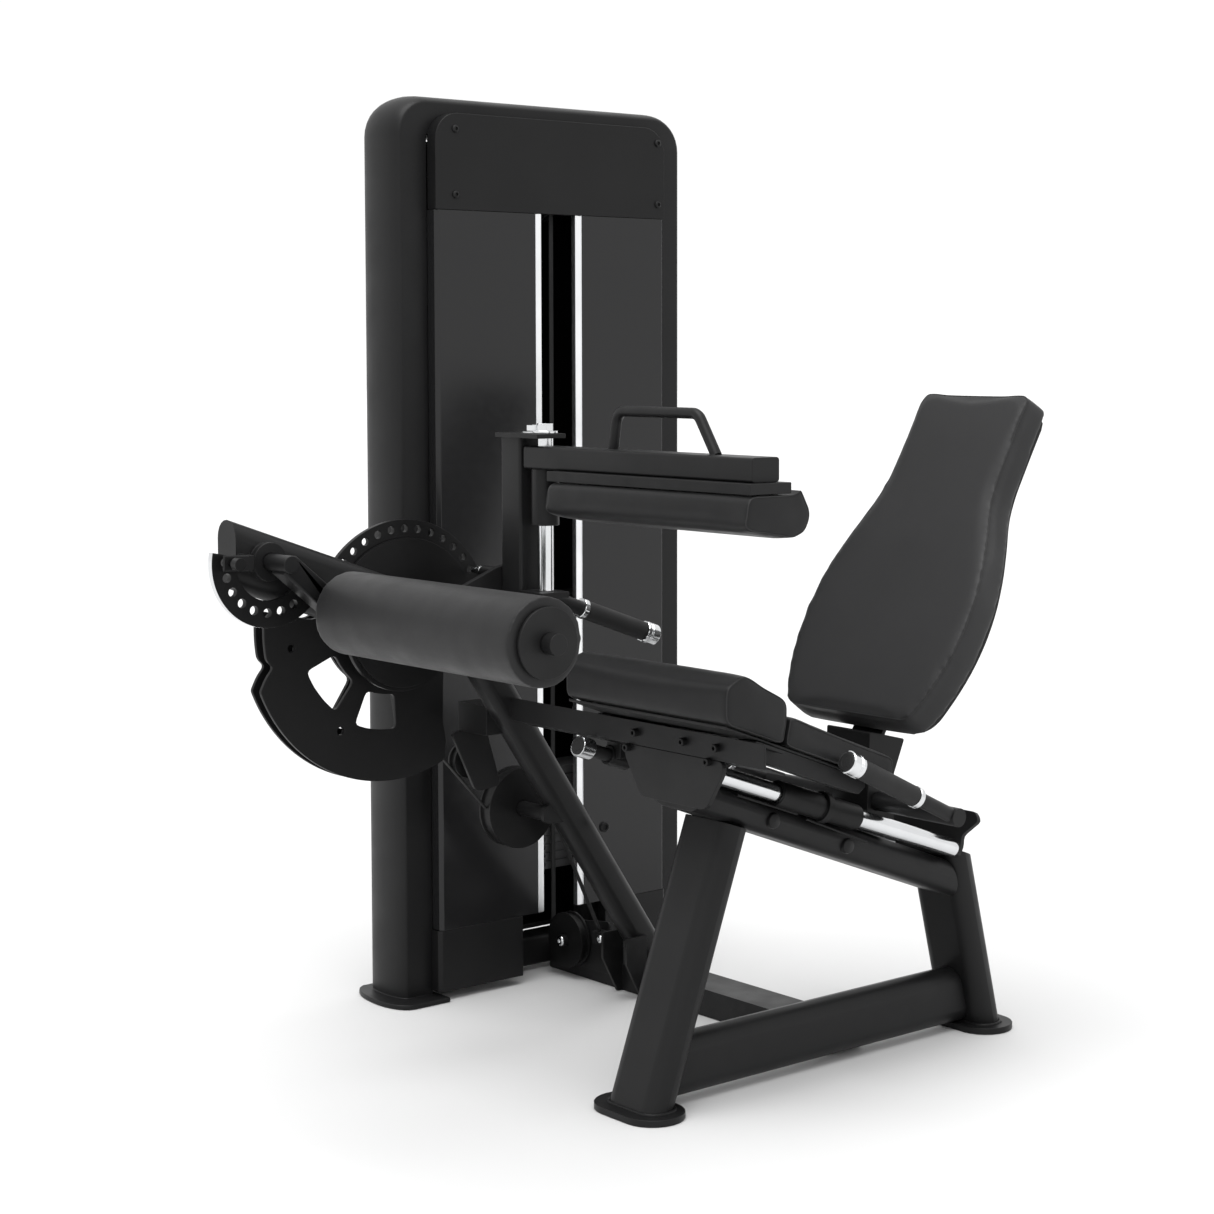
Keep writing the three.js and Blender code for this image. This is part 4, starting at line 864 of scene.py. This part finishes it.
# ---------------------------------------------------------------- small parts on the frame
def fastenings():
    """Nuts, washers, screws and a boss that stand on the frame."""
    washer = [(17, 0), (19, 0.6), (19, 2.2), (17.5, 2.8), (12.5, 2.8), (12.5, 0)]
    nuts = [lathe(washer, at(-80, 18, 964), Z, 40), hex_nut(at(-80, 18, 966.6), Z, 12, 10)]
    show("post_nuts", merged("post_nuts", nuts), "frame", "chrome", CHROME)
    screws = [(-200, 533), (-307, 533), (-182, 509), (-360, 511), (-378, 533)]
    parts = [cap_screw(at(-61.7, y, z), -X, 6, 9, 3) for y, z in screws]
    show("seat_screws", merged("seat_screws", parts), "frame", "black_plastic", PLASTIC)
    bright = [button_bolt(at(237, 367.2, 66), -X, 9, 4, 3.4), button_bolt(at(247, 271, 86), -X, 7, 4, 2.8)]
    show("pulley_screws", merged("pulley_screws", bright), "frame", "chrome", CHROME)
    boss = [(8.5, -3), (8.5, 3.2), (7.6, 4), (4.6, 4), (4.2, 2), (0.5, 2)]
    mesh = merged("brace_boss", [lathe(boss, at(143.2, 131, 315), -Y, 32)])
    show("brace_boss", mesh, "frame", "frame_paint", PAINT)


def rail_details():
    """Round bosses on the rail's near side and the thin release rods over them."""
    bosses = []
    for x, z in ((84.7, 403.8), (236.6, 345.8)):
        profile = [(12, -6), (12, 1.6), (11, 4.2), (8, 5.6), (0.5, 6.2)]
        bosses.append(lathe(profile, at(x, -335, z), -Y, 36))
    show("rail_bosses", merged("rail_bosses", bosses), "frame", "frame_paint", PAINT)
    rods = [((4.6, -345, 453.2), (123.2, -345, 410.3)), ((141.5, -345, 400.5), (268.9, -345, 348.8))]
    parts = [tube([at(*a).lerp(at(*b), k / 12) for k in range(13)], 2.0 * MM, 14) for a, b in rods]
    show("release_rods", merged("release_rods", parts), "frame", "dark_paint", DARK)


def weld_ring(centre, lean, thickness=54, width=112, radius=2.6):
    """A bead laid around a leg where it stands on its foot."""
    half_w, half_t = width / 2, thickness / 2
    corners = [(-half_t, -half_w), (half_t, -half_w), (half_t, half_w), (-half_t, half_w)]
    stretch = math.cos(math.atan(lean))
    path = [
        at(centre[0] + x / stretch, centre[1] + y, centre[2]) for x, y in rounded(corners, half_t, 16)
    ]
    return tube(path, radius * MM, 10, closed=True, ripple=0.1, ripples=90)


def welds():
    beads = [weld_ring((-120, SEAT_Y, 10.4), 0.361), weld_ring((571, SEAT_Y, 10.4), 0.252)]
    show("leg_welds", merged("leg_welds", beads), "frame", "frame_paint", PAINT)


# ---------------------------------------------------------------- build
tower()
guide_rods()
plain_pieces()
cam()
range_disc()
swing_ring()
grips()
fastenings()
rail_details()
welds()

slope = Vector((math.sin(SEAT_TILT), 0, math.cos(SEAT_TILT)))
lean = Vector((math.cos(BACK_TILT), 0, -math.sin(BACK_TILT)))
cushion("back_pad", "cushion", lean, [-lean], cap=4, shrink=2.5)
cushion("seat_pad", "cushion_dark", -slope, [Y, -Y], cap=3, shrink=2)
cushion("seat_bolster", "cushion_dark", -slope, [Y, -Y], cap=3, shrink=2, relax=2)
cushion("hold_down_pad", "cushion_dark", Z, [Y, -Y], cap=3, shrink=2, relax=2)
# The roller pad wears the darker vinyl copy, which is painted shade.
cushion("roller_pad", "cushion", None, cap=2.5, shrink=2, relax=2, material=VINYL_ROLLER_SHADED)


# ---------------------------------------------------------------- stage, light, camera
def lamp(name, kind, energy, aim, place=(0, 0, 0)):
    light = bpy.data.lights.new(name, kind)
    light.energy = energy
    obj = linked(name, light)
    obj.location = place
    obj.rotation_euler = aim.to_track_quat("-Z", "Y").to_euler()
    return light


def stage():
    """A pale floor just under the part, a white world, a soft ceiling and one weak key light."""
    size, drop = 60, -0.0005
    corners = [(-size, -size, drop), (size, -size, drop), (size, size, drop), (-size, size, drop)]
    mesh = mesh_from("floor", corners, [(0, 1, 2, 3)])
    floor = linked("floor", mesh)
    material, _, bsdf = shader("pale_floor")
    set_sockets(bsdf, {"Base Color": (0.64, 0.64, 0.64, 1), "Roughness": 0.75, "Specular IOR Level": 0.2})
    mesh.materials.append(material)

    world = bpy.data.worlds.new("studio")
    bpy.context.scene.world = world
    world.use_nodes = True
    set_sockets(world.node_tree.nodes["Background"], {"Color": (1, 1, 1, 1), "Strength": 1.03})

    lamp("ceiling", "SUN", 2.5, Vector((0.25, 0.1, -1))).angle = math.radians(50)
    place = Vector((-2.6, -1.8, 3.6))
    key = lamp("key", "AREA", 20, Vector((0, 0, 0.6)) - place, place)
    key.shape = "RECTANGLE"
    key.size = key.size_y = 2.2


def camera():
    """The photograph's camera, solved from its straight edges."""
    data = bpy.data.cameras.new("camera")
    data.sensor_width = 36
    data.lens = 70.53
    data.shift_x, data.shift_y = -0.0581, -0.0640
    data.clip_end = 60
    obj = linked("camera", data)
    obj.location = ORIGIN + Vector((-2.254, -2.8455, 1.093))
    obj.rotation_euler = (math.radians(85.619), 0, math.radians(-40.641))
    bpy.context.scene.camera = obj
    bpy.context.scene.view_settings.view_transform = "Standard"


stage()
camera()
